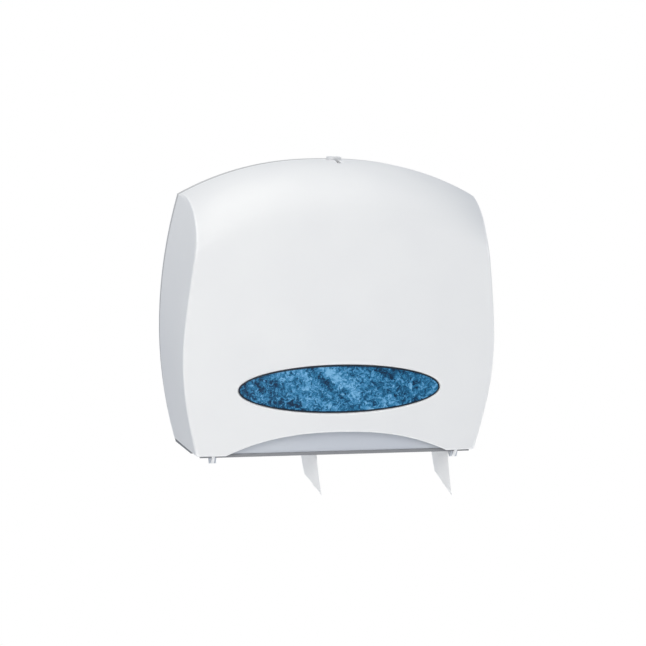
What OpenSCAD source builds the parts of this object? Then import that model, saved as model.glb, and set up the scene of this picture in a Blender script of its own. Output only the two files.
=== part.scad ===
// Wall dispenser for one jumbo tissue roll and one part-used stub roll.
// Millimetres. +Z is up, the wall is the plane Y = 0 and the front faces -Y.
// The origin is the middle of the four wall screws, on the wall.
// Heights in the modules count from the bottom edge of the case, and depths count
// from the wall; hung() then moves a finished piece to the origin at the screws.

/* [Case] */
// Width of the case at its widest
case_w = 409; // [380:1:450]
// Height of the case, bottom edge to the crown of the arched top
case_h = 344; // [335:1:400]
// Depth of the case, wall to the front of the cover
case_d = 146; // [142:1:175]
// Depth of the rear housing's rim
rim_d = 22; // [18:1:26]
// Wall thickness of the rear housing
housing_wall = 3; // [2.5:0.1:3.5]
// Height at which the case is widest
widest_z = 138; // [120:1:160]
// Drop from the crown of the top down to the shoulders
shoulder_drop = 44; // [36:1:50]
// How far each side draws in at the shoulders
shoulder_in = 22.5; // [16:0.5:26]
// How far each side draws in at the bottom edge
bottom_in = 18; // [12:0.5:22]

/* [Cover] */
// Wall thickness of the front cover
cover_wall = 3; // [2.4:0.1:3.4]
// Gap between the cover's edge and the rim
cover_gap = 0.4; // [0.3:0.1:1]
// Height over which the front turns back into the top
crown_h = 66; // [50:1:80]
// Inward lean of the side panels at the bottom edge, in degrees
side_lean = 12.6; // [9:0.1:14]
// Inward lean of the side panels at the shoulders, in degrees
shoulder_lean = 9.5; // [8:0.1:12]
// Backward lean of the face below the belly, in degrees
face_lean = 7.2; // [4:0.2:8]
// Height at which the face starts to lean back
belly_z = 222; // [200:1:240]
// How far the middle of the face stands ahead of its side edges
face_bow = 4; // [1:0.5:6]
// Radius of the edge between the face and the side panels
edge_r = 3.5; // [3:0.5:8]
// Span of the arch cut in the bottom edge
arch_w = 266; // [240:1:280]
// Height of the arch
arch_h = 27; // [20:1:32]

/* [Oval panel] */
// Width of the oval opening
oval_w = 240; // [200:1:260]
// Height of the oval opening
oval_h = 59; // [46:1:64]
// Height of the oval's centre
oval_z = 80.5; // [78:0.5:100]
// Width of the dark ring round the panel
ring_w = 1.6; // [1.4:0.1:3]
// How far the panel's flange reaches behind the cover
panel_flange = 7; // [5:0.5:10]
// Thickness of the panel
panel_t = 2; // [1.5:0.1:2.5]

/* [Rolls] */
// Width of a roll
roll_w = 90; // [84:1:92]
// Diameter of the full roll
roll_dia = 228; // [190:1:230]
// Diameter of the part-used stub roll
stub_dia = 92; // [90:1:100]
// Outside diameter of a cardboard core
core_dia = 84; // [80:1:86]
// Wall of a cardboard core
core_wall = 1.5; // [1:0.1:2]
// Centre of the full roll, right of the middle
roll_x = 19; // [10:1:30]
// Centre of the stub roll, left of the middle
stub_x = 76; // [70:1:84]
// Height of the stub roll's underside above the bottom edge
stub_lift = 6; // [4:1:10]
// Diameter of the posts that the hubs turn on
post_dia = 24; // [18:1:30]
// Radial running clearance of a hub on its post
run_gap = 0.05; // [0.02:0.01:0.1]
// Clear space between the two rolls
roll_gap = 7; // [5:0.5:9]

/* [Paper tails] */
// Thickness of a hanging tail, several plies held together
tail_t = 0.6; // [0.4:0.1:1]
// How far the full roll's tail hangs below the case
main_hang = 61; // [40:1:70]
// How far the stub roll's tail hangs below the case
stub_hang = 56; // [40:1:70]
// How much shorter a tail is at its back edge
tail_slant = 5; // [0:1:14]
// How far the full roll's tail drifts sideways by its lower end
main_drift = 12; // [0:0.5:13]
// How far the stub roll's tail drifts sideways by its lower end
stub_drift = 13; // [0:0.5:14]

/* [Hinge] */
// Depth of the hinge pins from the wall
hinge_d = 92; // [84:1:94]
// How far the hinge pins lie below the bottom edge
hinge_drop = 8; // [7:0.5:13]
// Diameter of the hinge pins
pin_dia = 4; // [3:0.5:6]
// Distance from the middle of the case to the middle of each hinge ear
ear_x = 146.9; // [146:0.1:152]
// Width of a hinge ear
ear_w = 3.6; // [3:0.1:8]
// Side clearance of a hinge ear between its cheeks
ear_gap = 0.3; // [0.2:0.1:0.6]
// Thickness of the cheeks beside each ear
cheek_w = 2; // [1.8:0.1:6]
// Radius of the ears and cheeks round the pin
knuckle_r = 5.4; // [5:0.1:8]

/* [Paper guide] */
// Depth of the chin's face from the wall
chin_d = 106; // [104:1:107]
// Height of the chin
chin_h = 42; // [36:1:48]
// Wall thickness of the paper guide
guide_wall = 3; // [2.4:0.1:3.2]
// Pitch of the teeth on the tear bar
tooth_pitch = 3; // [2:0.5:5]
// Height of the teeth
tooth_h = 1.4; // [0.8:0.1:2]
// Thickness of the trim strip under the chin
trim_t = 3; // [2:0.1:4]

/* [Latch] */
// Distance of the latch from the middle of the case
latch_x = 4; // [-6:1:8]
// Width of the push button
button_w = 16; // [14:1:20]
// How far the button stands above the case
button_rise = 3.5; // [2:0.5:5]
// Travel of the button
button_travel = 4.8; // [4.4:0.1:5.6]
// Grip of the hook on the strike
hook_grip = 4; // [3:0.1:4.2]
// Wire diameter of the latch spring
spring_wire = 0.8; // [0.6:0.1:1]
// Turns of the latch spring
spring_turns = 7; // [5:1:9]

/* [Wall screws] */
// Distance between the wall screws, left to right
screw_dx = 220; // [200:1:250]
// Distance between the wall screws, up and down
screw_dz = 170; // [150:1:200]
// Height of the middle of the wall screws
screw_mid_z = 180; // [165:1:190]
// Diameter of the wall screw holes
screw_hole = 6; // [5:0.5:7]

/* [Hidden] */
$fn = 96;
eps = 0.01;
fit_gap = 0.3;

white = "#eeeeec";
cool_grey = "#c3c8d0";
dark_grey = "#55585c";
navy = "#12304a";
marble_blue = "#3f7fa8";
tissue = "#f4f3f1";
cardboard = "#b79a72";
steel = "#b9bcc0";

// ---- the case's outline, seen from the front ----
shoulder_z = case_h - shoulder_drop;
shoulder_x = case_w / 2 - shoulder_in;

// Half the case's width at height z
function side_x(z) = case_w / 2 - (z > widest_z
    ? shoulder_in * pow((z - widest_z) / (shoulder_z - widest_z), 2)
    : bottom_in * pow((widest_z - z) / widest_z, 2));
arch_power = 2.3;
// Height of the arched top at x
function top_z(x) = case_h - shoulder_drop * pow(abs(x) / shoulder_x, arch_power);
// Height of the bottom edge at x, raised by the arch
arch_full = 2.4;
function bottom_z(x) = abs(x) < arch_w / 2 ? arch_h * (1 - pow(abs(x) / (arch_w / 2), arch_full)) : 0;

outline_side = 16;
outline_top = 36;
function case_outline(inset = 0, lift = 0) = concat(
    [for (i = [0 : outline_side - 1])
        let (z = lift + (shoulder_z - inset - lift) * i / outline_side) [side_x(z) - inset, z]],
    [for (i = [0 : outline_top])
        let (x = (shoulder_x - inset) * (1 - 2 * i / outline_top)) [x, top_z(x) - inset]],
    [for (i = [outline_side - 1 : -1 : 0])
        let (z = lift + (shoulder_z - inset - lift) * i / outline_side) [inset - side_x(z), z]]
);

// ---- the cover's surface ----
lean_soft = 40;
cover_back = rim_d + cover_gap;
bow_half = case_w / 2 - 24;
// Depth of the middle of the face at height z, before the crown turns back
function face_depth(z) = let (t = belly_z - z)
    case_d - tan(face_lean) * (t + sqrt(t * t + lean_soft * lean_soft)) / 2;
// Share of the depth left at a distance below the arched top: a quarter of a full ellipse
crown_power = 2.3;
function quarter(t) = pow(max(0, 1 - pow(t, crown_power)), 1 / crown_power);
function crown_share(below, inset) = let (h = crown_h - inset) below >= h ? 1 : quarter((h - below) / h);
// Height of the crown's surface in the middle of the case at a depth
function crown_z(depth, inset) = let (whole = face_depth(case_h) - inset - cover_back)
    case_h - inset - (crown_h - inset) * (1 - quarter((depth - cover_back) / whole));
// Inward lean of the side panels at height z
function lean_at(z) = side_lean + (shoulder_lean - side_lean) * z / shoulder_z;
// Depth of the face at (x, z), for a surface set in by the given amount
function surface_depth(x, z, inset = 0) = cover_back
    + (face_depth(z) - inset - cover_back - face_bow * pow(x / bow_half, 2))
    * crown_share(top_z(x) - inset - z, inset);

// The cover is lofted through rows that run from the arched top down to the bottom edge.
crown_rows = 10;
face_rows = 12;
loft_rows = crown_rows + face_rows;
face_cols = 12;
edge_cols = 4;
side_cols = 2;
// Height at x of a row, counted from the top, where the top edge is at height top
function row_z(row, top, bottom, inset) = row <= crown_rows
    ? top - inset - (crown_h - inset) * (1 - cos(90 * row / crown_rows))
    : (top - crown_h) + (bottom - top + crown_h) * (row - crown_rows) / face_rows;
function face_point(x, row, inset) = let (z = row_z(row, top_z(x), bottom_z(x), inset))
    [x, surface_depth(x, z, inset), z];
// A point on the curve that rounds the corner c between a and b
function round_point(a, c, b, t) = a * (1 - t) * (1 - t) + c * 2 * t * (1 - t) + b * t * t;
// The right half of one row, from the middle of the face round to the rim
function half_row(row, inset) =
    let (
        z = row_z(row, shoulder_z, 0, inset),
        share = crown_share(shoulder_z - inset - z, inset),
        d = cover_back + (face_depth(z) - inset - cover_back - face_bow) * share,
        rim_x = side_x(z) - inset,
        edge = [rim_x - tan(lean_at(z)) * (d - cover_back), d, z],
        rim = [rim_x, cover_back, z],
        side = norm(rim - edge),
        r = min(edge_r, 0.45 * side),
        on_face = face_point(edge[0] - max(r, 3), row, inset),
        on_side = side > 1 ? edge + (rim - edge) * r / side : rim
    )
    concat(
        [for (i = [0 : face_cols - 1]) face_point(on_face[0] * i / face_cols, row, inset)],
        side > 1
            ? [for (i = [0 : edge_cols - 1]) round_point(on_face, edge, on_side, i / edge_cols)]
            : [for (i = [0 : edge_cols - 1])
                let (x = on_face[0] + 3 * i / (edge_cols + side_cols)) face_point(x, row, inset)],
        side > 1
            ? [for (i = [0 : side_cols]) on_side + (rim - on_side) * i / side_cols]
            : [for (i = [0 : side_cols])
                let (x = on_face[0] + 3 * (edge_cols + i) / (edge_cols + side_cols))
                face_point(x, row, inset)]
    );
half_cols = face_cols + edge_cols + side_cols;
loft_cols = 2 * half_cols + 1;
function whole_row(row, inset) = let (h = half_row(row, inset)) [
    for (i = [-half_cols : half_cols])
        let (p = h[abs(i)]) [sign(i) * p[0], -p[1], p[2]]
];
// A quad as two triangles, split from a to c, or from b to d when turned
function two_sided(a, b, c, d, turned = false) = turned
    ? [[a, b, d], [b, c, d]]
    : [[a, b, c], [a, c, d]];
// The shell between the outer loft and the same loft set in by the wall
module cover_shell() {
    skin = [for (inset = [0, cover_wall]) for (row = [0 : loft_rows]) each whole_row(row, inset)];
    inner = (loft_rows + 1) * loft_cols;
    function at(row, col) = row * loft_cols + col;
    polyhedron(skin, concat(
        [for (r = [0 : loft_rows - 1]) for (c = [0 : loft_cols - 2])
            each two_sided(at(r, c), at(r, c + 1), at(r + 1, c + 1), at(r + 1, c), c >= half_cols)],
        [for (r = [0 : loft_rows - 1]) for (c = [0 : loft_cols - 2])
            each two_sided(inner + at(r, c), inner + at(r + 1, c), inner + at(r + 1, c + 1),
                inner + at(r, c + 1), c >= half_cols)],
        [for (c = [0 : loft_cols - 2])
            each two_sided(at(0, c + 1), at(0, c), inner + at(0, c), inner + at(0, c + 1))],
        [for (c = [0 : loft_cols - 2]) let (r = loft_rows)
            each two_sided(at(r, c), at(r, c + 1), inner + at(r, c + 1), inner + at(r, c))],
        [for (r = [0 : loft_rows - 1])
            each two_sided(at(r, 0), at(r + 1, 0), inner + at(r + 1, 0), inner + at(r, 0))],
        [for (r = [0 : loft_rows - 1]) let (c = loft_cols - 1)
            each two_sided(at(r + 1, c), at(r, c), inner + at(r, c), inner + at(r + 1, c))]
    ), convexity = 6);
}

// ---- the oval panel, lofted through rings that follow the cover's face ----
oval_steps = 56;
// A ring of points round the oval: grown by grow, scaled by share, set in by inset
function oval_ring(share, grow, inset) = [
    for (i = [0 : oval_steps - 1])
        let (
            x = share * (oval_w / 2 + grow) * cos(360 * i / oval_steps),
            z = oval_z + share * (oval_h / 2 + grow) * sin(360 * i / oval_steps)
        )
        [x, -surface_depth(x, z, inset), z]
];
function ring_walls(rings, closed) = [
    for (k = [0 : rings - (closed ? 1 : 2)])
        for (i = [0 : oval_steps - 1])
            let (
                j = (i + 1) % oval_steps,
                a = k * oval_steps,
                b = ((k + 1) % rings) * oval_steps
            )
            each two_sided(a + i, b + i, b + j, a + j)
];

// ---- places that several pieces share ----
roll_back = 9;
roll_front = roll_back + roll_w;
roll_r = roll_dia / 2;
stub_r = stub_dia / 2;
stub_z = stub_lift + stub_r;
roll_z = stub_z + sqrt(pow(roll_r + stub_r + roll_gap, 2) - pow(roll_x + stub_x, 2));
post_r = post_dia / 2;
post_flange_r = 28;
post_flange_front = housing_wall + 4;
post_end = roll_front - 1;
screw_r = 2;
screw_head_r = 3.8;
bolt_circle_r = 21;
boss_r = 9;
boss_front = housing_wall + 2.5;
rib_front = housing_wall + 3;
rib_w = 2;
ear_in = ear_x - ear_w / 2;
ear_out = ear_x + ear_w / 2;
cheek_in = ear_in - ear_gap - cheek_w;
cheek_out = ear_out + ear_gap + cheek_w;
flange_out = cheek_out + 13;
flange_top = 34;
flange_bottom = 6;
pin_r = pin_dia / 2;

module hung() {
    translate([0, 0, -screw_mid_z]) children();
}
// Extrudes a front view outline from one depth to another
module in_depth(from, to) {
    translate([0, -from, 0]) rotate([90, 0, 0]) linear_extrude(to - from) children();
}
// Extrudes a side view outline, drawn as (depth, height), from one x to another
module across(from, to) {
    translate([to, 0, 0]) rotate([90, 0, -90]) linear_extrude(to - from) children();
}
// A round bar or bore along the depth
module bar(x, z, from, to, r) {
    in_depth(from, to) translate([x, z]) circle(r);
}
// A round bar or bore from one x to another
module cross_bar(d, z, from, to, r) {
    across(from, to) translate([d, z]) circle(r);
}
// A straight box between two corners given as (x, depth, height)
module block(a, b) {
    translate([a[0], -b[1], a[2]]) cube([b[0] - a[0], b[1] - a[1], b[2] - a[2]]);
}
module both_sides() {
    children();
    mirror([1, 0, 0]) children();
}
// A pan head screw along the depth with a cross recess
module screw(x, z, tip, seat, top, shank_r = screw_r, head_r = screw_head_r) {
    difference() {
        union() {
            bar(x, z, tip, seat, shank_r);
            bar(x, z, seat, top, head_r);
        }
        for (turn = [0, 90])
            in_depth(top - 1, top + 1) translate([x, z]) rotate(turn)
                square([head_r * 1.1, head_r * 0.3], center = true);
    }
}
// Places its children at each of the three bolts round a post
module at_bolts() {
    for (i = [0 : 2]) rotate([0, 120 * i + 30, 0]) translate([bolt_circle_r, 0, 0]) children();
}

// ---- rear housing and what is fixed to it ----
module rear_housing() {
    color(white) hung() difference() {
        union() {
            in_depth(0, housing_wall) polygon(case_outline());
            in_depth(0, rim_d) difference() {
                polygon(case_outline());
                polygon(case_outline(housing_wall, -1));
            }
            in_depth(0, rim_d) intersection() {
                polygon(case_outline());
                both_sides_2d() translate([flange_out + 1, 0]) square([60, housing_wall]);
            }
            difference() {
                housing_ribs();
                bar(roll_x, roll_z, 1, rim_d, post_flange_r + 1);
                bar(-stub_x, stub_z, 1, rim_d, post_flange_r + 1);
            }
            for (sx = [-1, 1], sz = [-1, 1])
                bar(sx * screw_dx / 2, screw_mid_z + sz * screw_dz / 2, 1, boss_front, boss_r);
        }
        for (sx = [-1, 1], sz = [-1, 1])
            bar(sx * screw_dx / 2, screw_mid_z + sz * screw_dz / 2, -1, boss_front + 1, screw_hole / 2);
        post_bolt_holes(roll_x, roll_z);
        post_bolt_holes(-stub_x, stub_z);
        guide_screw_holes();
        latch_screw_holes();
    }
}
module both_sides_2d() {
    children();
    mirror([1, 0]) children();
}
rib_out_x = cheek_in - 12;
rib_mid_x = 48;
rib_mid_low = 110;
rib_top = screw_mid_z + 94;
cross_rib_z = [screw_mid_z - 42, screw_mid_z + 62];
module housing_ribs() {
    in_depth(1, rib_front) {
        both_sides_2d() translate([rib_out_x, flange_top]) square([rib_w, rib_top - flange_top]);
        both_sides_2d() translate([rib_mid_x, rib_mid_low]) square([rib_w, rib_top - rib_mid_low]);
        for (z = cross_rib_z) translate([-rib_out_x - rib_w, z]) square([2 * (rib_out_x + rib_w), rib_w]);
    }
}
module post_bolt_holes(x, z) {
    translate([x, 0, z]) at_bolts() bar(0, 0, 0.8, post_flange_front + 1, screw_r + run_gap);
}
guide_screw_x = cheek_out + 8;
module at_guide_screws() {
    both_sides() for (z = [flange_bottom + 7, flange_top - 7]) translate([guide_screw_x, 0, z]) children();
}
module guide_screw_holes() {
    at_guide_screws() bar(0, 0, 0.8, rim_d, screw_r + run_gap);
}

// The chin, its two cheeks on each side and the feet that fix it to the housing
guide_foot_front = housing_wall + 3;
chin_back = chin_d - guide_wall;
chin_lip = 3;
wing_out = 163;
trim_lip = 1.2;
trim_rise = 0.8;
rail_w = 5;
rail_in = 1;
rail_end = hinge_d - 8;
module chin_profile() {
    translate([chin_back, guide_wall / 2]) square([guide_wall, chin_h - guide_wall / 2]);
    translate([chin_back + guide_wall / 2, guide_wall / 2]) circle(guide_wall / 2);
    translate([chin_d - eps, chin_h - guide_wall]) square([chin_lip + eps, guide_wall]);
}
module cheek_profile() {
    polygon([
        [housing_wall, flange_bottom], [hinge_d - 28, flange_bottom - 2],
        [hinge_d - knuckle_r * 0.85, -hinge_drop - knuckle_r * 0.55],
        [hinge_d + knuckle_r * 0.85, -hinge_drop - knuckle_r * 0.55],
        [chin_back, 2], [chin_back + 1, chin_h], [chin_back - 30, chin_h],
        [housing_wall + 14, flange_top], [housing_wall, flange_top]
    ]);
    translate([hinge_d, -hinge_drop]) circle(knuckle_r);
}
module paper_guide() {
    color(cool_grey) hung() difference() {
        union() {
            across(-wing_out, wing_out) chin_profile();
            both_sides() {
                across(cheek_in, cheek_in + cheek_w) cheek_profile();
                across(cheek_out - cheek_w, cheek_out) cheek_profile();
                block([cheek_in, housing_wall, flange_bottom], [flange_out, guide_foot_front, flange_top]);
                block([cheek_in, housing_wall, flange_top - guide_wall],
                    [cheek_out, hinge_d - 32, flange_top]);
            }
        }
        ear_slots();
        both_sides() cross_bar(hinge_d, -hinge_drop, cheek_in - 1, cheek_out + 1, pin_r + run_gap);
        guide_screw_holes();
        at_tear_rivets() bar(0, 0, chin_back - 4, chin_back + 1.5, rivet_r + run_gap);
    }
}
// The slots in the guide that the ears of the cover swing in
module ear_slots() {
    both_sides() block([cheek_in + cheek_w, hinge_d - 30, -40],
        [cheek_out - cheek_w, chin_d + chin_lip + 1, chin_h + 1]);
}
// A dark strip along the chin's lower edge
module chin_trim() {
    color(dark_grey) hung() difference() {
        across(-wing_out, wing_out) difference() {
            translate([chin_back, -trim_t]) square([guide_wall + trim_lip, trim_t + trim_rise]);
            chin_profile();
        }
        ear_slots();
    }
}
// A dark rail under each side: it sits on the housing's bottom and runs on under the cover's edge
module side_rails() {
    out = side_x(0) - rail_in;
    front = out - tan(lean_at(0)) * (rail_end - cover_back);
    color(dark_grey) hung() both_sides() {
        translate([0, 0, -trim_t]) linear_extrude(trim_t - cover_gap) polygon([
            [out - rail_w, 0], [out, 0], [out, -cover_back], [front, -rail_end],
            [front - rail_w, -rail_end], [out - rail_w, -cover_back]
        ]);
        block([out - rail_w, 0, -cover_gap - eps], [out, rim_d, 0]);
    }
}
module guide_screws() {
    color(steel) hung() at_guide_screws() screw(0, 0, 1, guide_foot_front, guide_foot_front + 2.2);
}
module hinge_pins() {
    color(steel) hung() both_sides()
        cross_bar(hinge_d, -hinge_drop, cheek_in, cheek_out, pin_r);
}

tear_t = 1.4;
tear_drop = 3.4;
tear_top = 15;
tear_half = cheek_in - 0.6;
rivet_r = 1.5;
tear_rivets = 5;
rivet_pitch = 56;
module at_tear_rivets() {
    for (i = [0 : tear_rivets - 1])
        translate([(i - (tear_rivets - 1) / 2) * rivet_pitch, 0, (tear_top + guide_wall) / 2]) children();
}
module tear_bar() {
    teeth = floor(2 * tear_half / tooth_pitch);
    start = -teeth * tooth_pitch / 2;
    color(dark_grey) hung() difference() {
        in_depth(chin_back - tear_t, chin_back) polygon(concat(
            [[-tear_half, tear_top], [-tear_half, tooth_h - tear_drop], [start, tooth_h - tear_drop]],
            [for (i = [0 : teeth - 1]) each [
                [start + (i + 0.5) * tooth_pitch, -tear_drop],
                [start + (i + 1) * tooth_pitch, tooth_h - tear_drop]]],
            [[tear_half, tooth_h - tear_drop], [tear_half, tear_top]]
        ));
        at_tear_rivets() bar(0, 0, chin_back - 4, chin_back + 1, rivet_r + run_gap);
    }
}
module tear_bar_rivets() {
    color(steel) hung() at_tear_rivets() {
        bar(0, 0, chin_back - tear_t, chin_back + 1.5, rivet_r);
        bar(0, 0, chin_back - tear_t - 1, chin_back - tear_t, rivet_r + 1.3);
    }
}

// ---- the cover and what moves with it ----
module oval_outline(grow = 0) {
    polygon([for (i = [0 : oval_steps - 1])
        [(oval_w / 2 + grow) * cos(360 * i / oval_steps),
            oval_z + (oval_h / 2 + grow) * sin(360 * i / oval_steps)]]);
}
cover_rib_x = [58, 118];
cover_rib_w = 2;
cover_rib_h = 6;
cover_rib_low = 124;
cover_rib_high = 262;
cover_rib_steps = 5;
// A stiffening rib behind the face, its front sunk into the wall
module cover_rib(x) {
    heights = [for (i = [0 : cover_rib_steps])
        cover_rib_low + (cover_rib_high - cover_rib_low) * i / cover_rib_steps];
    across(x - cover_rib_w / 2, x + cover_rib_w / 2) polygon(concat(
        [for (h = heights) [surface_depth(x, h, cover_wall) + cover_wall / 2, h]],
        [for (i = [cover_rib_steps : -1 : 0])
            [surface_depth(x, heights[i], cover_wall) - cover_rib_h, heights[i]]]
    ));
}
key_slot_w = 4.6;
key_slot_len = 26;
module front_cover() {
    color(white) hung() difference() {
        union() {
            cover_shell();
            both_sides() for (x = cover_rib_x) cover_rib(x);
            for (side = [-1, 1]) translate([latch_x + side * strike_screw_x, 0, 0])
                across(-strike_boss_w / 2, strike_boss_w / 2) polygon([
                    [strike_d + 1, strike_top], [strike_d + strike_len, strike_top],
                    [strike_d + strike_len, crown_z(strike_d + strike_len, cover_wall / 2)],
                    [strike_d + 1, crown_z(strike_d + 1, cover_wall / 2)]
                ]);
        }
        in_depth(cover_back + 40, case_d + 5) oval_outline();
        block([latch_x - button_w / 2 - notch_gap, rim_d - 1, case_h - 20],
            [latch_x + button_w / 2 + notch_gap, button_front + notch_gap, case_h + 5]);
        block([latch_x - 1, button_front, case_h - 20],
            [latch_x - 1 + key_slot_w, button_front + key_slot_len, case_h + 5]);
        at_strike_screws() cylinder(h = strike_screw_in + 0.2, r = strike_screw_r + run_gap);
        both_sides() at_bracket_screws()
            bar(0, 0, bracket_seat, bracket_tip + 0.2, bracket_screw_r + run_gap);
    }
}
ring_inset = 0.4;
panel_gap = 0.2;
module panel_ring() {
    out = -fit_gap;
    in = -fit_gap - ring_w;
    back = cover_wall + fit_gap - panel_gap;
    color(navy) hung() polyhedron(concat(
        oval_ring(1, in, ring_inset), oval_ring(1, out, ring_inset),
        oval_ring(1, out, back), oval_ring(1, in, back)
    ), ring_walls(4, true));
}
module oval_panel() {
    field = -fit_gap - ring_w - panel_gap;
    front = 1;
    seat = cover_wall + fit_gap;
    back = seat + panel_t;
    rings = 8;
    points = concat(
        oval_ring(0.3, field, front), oval_ring(0.65, field, front), oval_ring(1, field, front),
        oval_ring(1, field, seat), oval_ring(1, panel_flange, seat), oval_ring(1, panel_flange, back),
        oval_ring(0.65, field, back), oval_ring(0.3, field, back)
    );
    color(marble_blue) hung() polyhedron(points, concat(
        ring_walls(rings, false),
        [[for (i = [0 : oval_steps - 1]) i]],
        [[for (i = [oval_steps - 1 : -1 : 0]) (rings - 1) * oval_steps + i]]
    ));
}
// A bracket behind each bottom corner of the cover carries the ear that turns on the pin
bracket_t = 3;
bracket_top = 34;
bracket_low = 3;
foot_in = ear_in - 9;
foot_out = cheek_out + 3;
bracket_screw_z = 23;
bracket_screw_r = 1.5;
bracket_head_r = 2.7;
bracket_head_t = 1.4;
bracket_screw_in = 2;
function bracket_face(z) = surface_depth(foot_out, z, cover_wall) - fit_gap;
bracket_seat = bracket_face(bracket_screw_z) - bracket_t + 0.6;
bracket_tip = bracket_face(bracket_screw_z) + fit_gap + bracket_screw_in;
module at_bracket_screws() {
    for (x = [foot_in + 4, foot_out - 3.2]) translate([x, 0, bracket_screw_z]) children();
}
module bracket_screws() {
    color(steel) hung() both_sides() at_bracket_screws() {
        bar(0, 0, bracket_seat, bracket_tip, bracket_screw_r);
        bar(0, 0, bracket_seat - bracket_head_t, bracket_seat, bracket_head_r);
    }
}
module hinge_bracket() {
    difference() {
        union() {
            across(foot_in, foot_out) polygon([
                [bracket_face(bracket_low), bracket_low], [bracket_face(bracket_top), bracket_top],
                [bracket_face(bracket_top) - bracket_t, bracket_top],
                [bracket_face(bracket_low) - bracket_t, bracket_low]
            ]);
            across(ear_in, ear_out) {
                polygon([
                    [bracket_face(bracket_low), bracket_low], [bracket_face(bracket_top), bracket_top],
                    [bracket_face(bracket_top) - 6, bracket_top],
                    [hinge_d - knuckle_r * 0.8, -hinge_drop + knuckle_r * 0.6],
                    [hinge_d, -hinge_drop - knuckle_r * 0.6],
                    [hinge_d + knuckle_r * 0.75, -hinge_drop - knuckle_r * 0.66]
                ]);
                translate([hinge_d, -hinge_drop]) circle(knuckle_r);
            }
        }
        cross_bar(hinge_d, -hinge_drop, ear_in - 1, ear_out + 1, pin_r + run_gap);
        at_bracket_screws() {
            bar(0, 0, bracket_seat - 1, bracket_tip, bracket_screw_r + run_gap);
            bar(0, 0, bracket_seat - 6, bracket_seat, bracket_head_r + 0.1);
        }
    }
}
module hinge_bracket_right() {
    color(white) hung() hinge_bracket();
}
module hinge_bracket_left() {
    color(white) hung() mirror([1, 0, 0]) hinge_bracket();
}
// The strike hangs under the crown of the cover and the latch hook grips its lip
strike_d = 47;
lip_t = 2.4;
strike_len = 10;
strike_t = 2;
strike_half = button_w / 2 + 5;
strike_top = crown_z(strike_d + strike_len, cover_wall) - 1.6;
strike_boss_w = 7;
strike_screw_x = strike_half - strike_boss_w / 2;
strike_screw_r = 1.5;
strike_screw_in = 2.4;
lip_low = strike_top - 12;
module at_strike_screws() {
    for (side = [-1, 1]) translate([latch_x + side * strike_screw_x,
        -(strike_d + (lip_t + strike_len) / 2), strike_top]) children();
}
module strike() {
    color(steel) hung() difference() {
        across(latch_x - strike_half, latch_x + strike_half) polygon([
            [strike_d, lip_low], [strike_d + lip_t, lip_low], [strike_d + lip_t, strike_top - strike_t],
            [strike_d + strike_len, strike_top - strike_t], [strike_d + strike_len, strike_top],
            [strike_d, strike_top]
        ]);
        at_strike_screws() translate([0, 0, -strike_t - 1])
            cylinder(h = strike_t + 2, r = strike_screw_r + run_gap);
    }
}
module strike_screws() {
    color(steel) hung() at_strike_screws() {
        translate([0, 0, -strike_t]) cylinder(h = strike_t + strike_screw_in, r = strike_screw_r);
        translate([0, 0, -strike_t - 1.4]) cylinder(h = 1.4, r = strike_screw_r + 1.2);
    }
}

// ---- the latch ----
notch_gap = 0.8;
slide_gap = 0.2;
button_back = rim_d + 5;
button_front = button_back + 14;
button_top = top_z(latch_x) + button_rise;
button_low = case_h - 32;
hook_gap = 0.5;
hook_top = lip_low + hook_grip;
hook_half = 5;
arm_top = lip_low - button_travel + 0.4;
arm_t = 5;
nose_back = strike_d + lip_t + hook_gap;
nose_t = 3.6;
spring_bore_r = 4.8;
spring_seat = button_low + 16;
latch_floor_z = button_low - 5;
latch_base_z = latch_floor_z - 12;
latch_wall = 3;
latch_half = button_w / 2 + slide_gap + latch_wall;
latch_foot_half = 17;
latch_foot_t = 3;
latch_front = button_front + 2.2;
latch_lip_top = case_h - 24;
latch_lip_half = 1.1;
latch_screw_x = 12;
module latch_button() {
    color(white) hung() difference() {
        union() {
            block([latch_x - button_w / 2, button_back, button_low],
                [latch_x + button_w / 2, button_front, button_top]);
            across(latch_x - hook_half, latch_x + hook_half) polygon([
                [button_front - 1, arm_top - arm_t], [nose_back + nose_t, arm_top - arm_t],
                [nose_back + nose_t, arm_top], [nose_back + 1.2, hook_top], [nose_back, hook_top],
                [nose_back, arm_top], [button_front - 1, arm_top]
            ]);
        }
        translate([latch_x, -(button_back + button_front) / 2, button_low - 1])
            cylinder(h = spring_seat - button_low + 1, r = spring_bore_r);
        block([latch_x - 1, button_back + 3, button_top - 2],
            [latch_x + 1, button_front - 3, button_top + 1]);
    }
}
module latch_housing() {
    color(cool_grey) hung() difference() {
        union() {
            block([latch_x - latch_foot_half, housing_wall, latch_base_z],
                [latch_x + latch_foot_half, housing_wall + latch_foot_t, case_h - 7]);
            for (side = [-1, 1]) {
                x = latch_x + side * (latch_half - latch_wall / 2);
                block([x - latch_wall / 2, housing_wall, latch_floor_z - 2],
                    [x + latch_wall / 2, latch_front, case_h - 9]);
                lip = latch_x + side * (latch_half - latch_wall - 1);
                block([lip - latch_lip_half, button_front + slide_gap, latch_floor_z],
                    [lip + latch_lip_half, latch_front, latch_lip_top]);
            }
            block([latch_x - latch_half, housing_wall, latch_floor_z - 2],
                [latch_x + latch_half, latch_front, latch_floor_z]);
            block([latch_x - latch_half, button_back - slide_gap - latch_wall, latch_floor_z - 1],
                [latch_x + latch_half, button_back - slide_gap, case_h - 9]);
        }
        latch_screw_holes();
    }
}
module at_latch_screws() {
    for (side = [-1, 1]) translate([latch_x + side * latch_screw_x, 0, latch_base_z + 5]) children();
}
module latch_screw_holes() {
    at_latch_screws() bar(0, 0, 0.8, housing_wall + latch_foot_t + 1, screw_r + run_gap);
}
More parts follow.
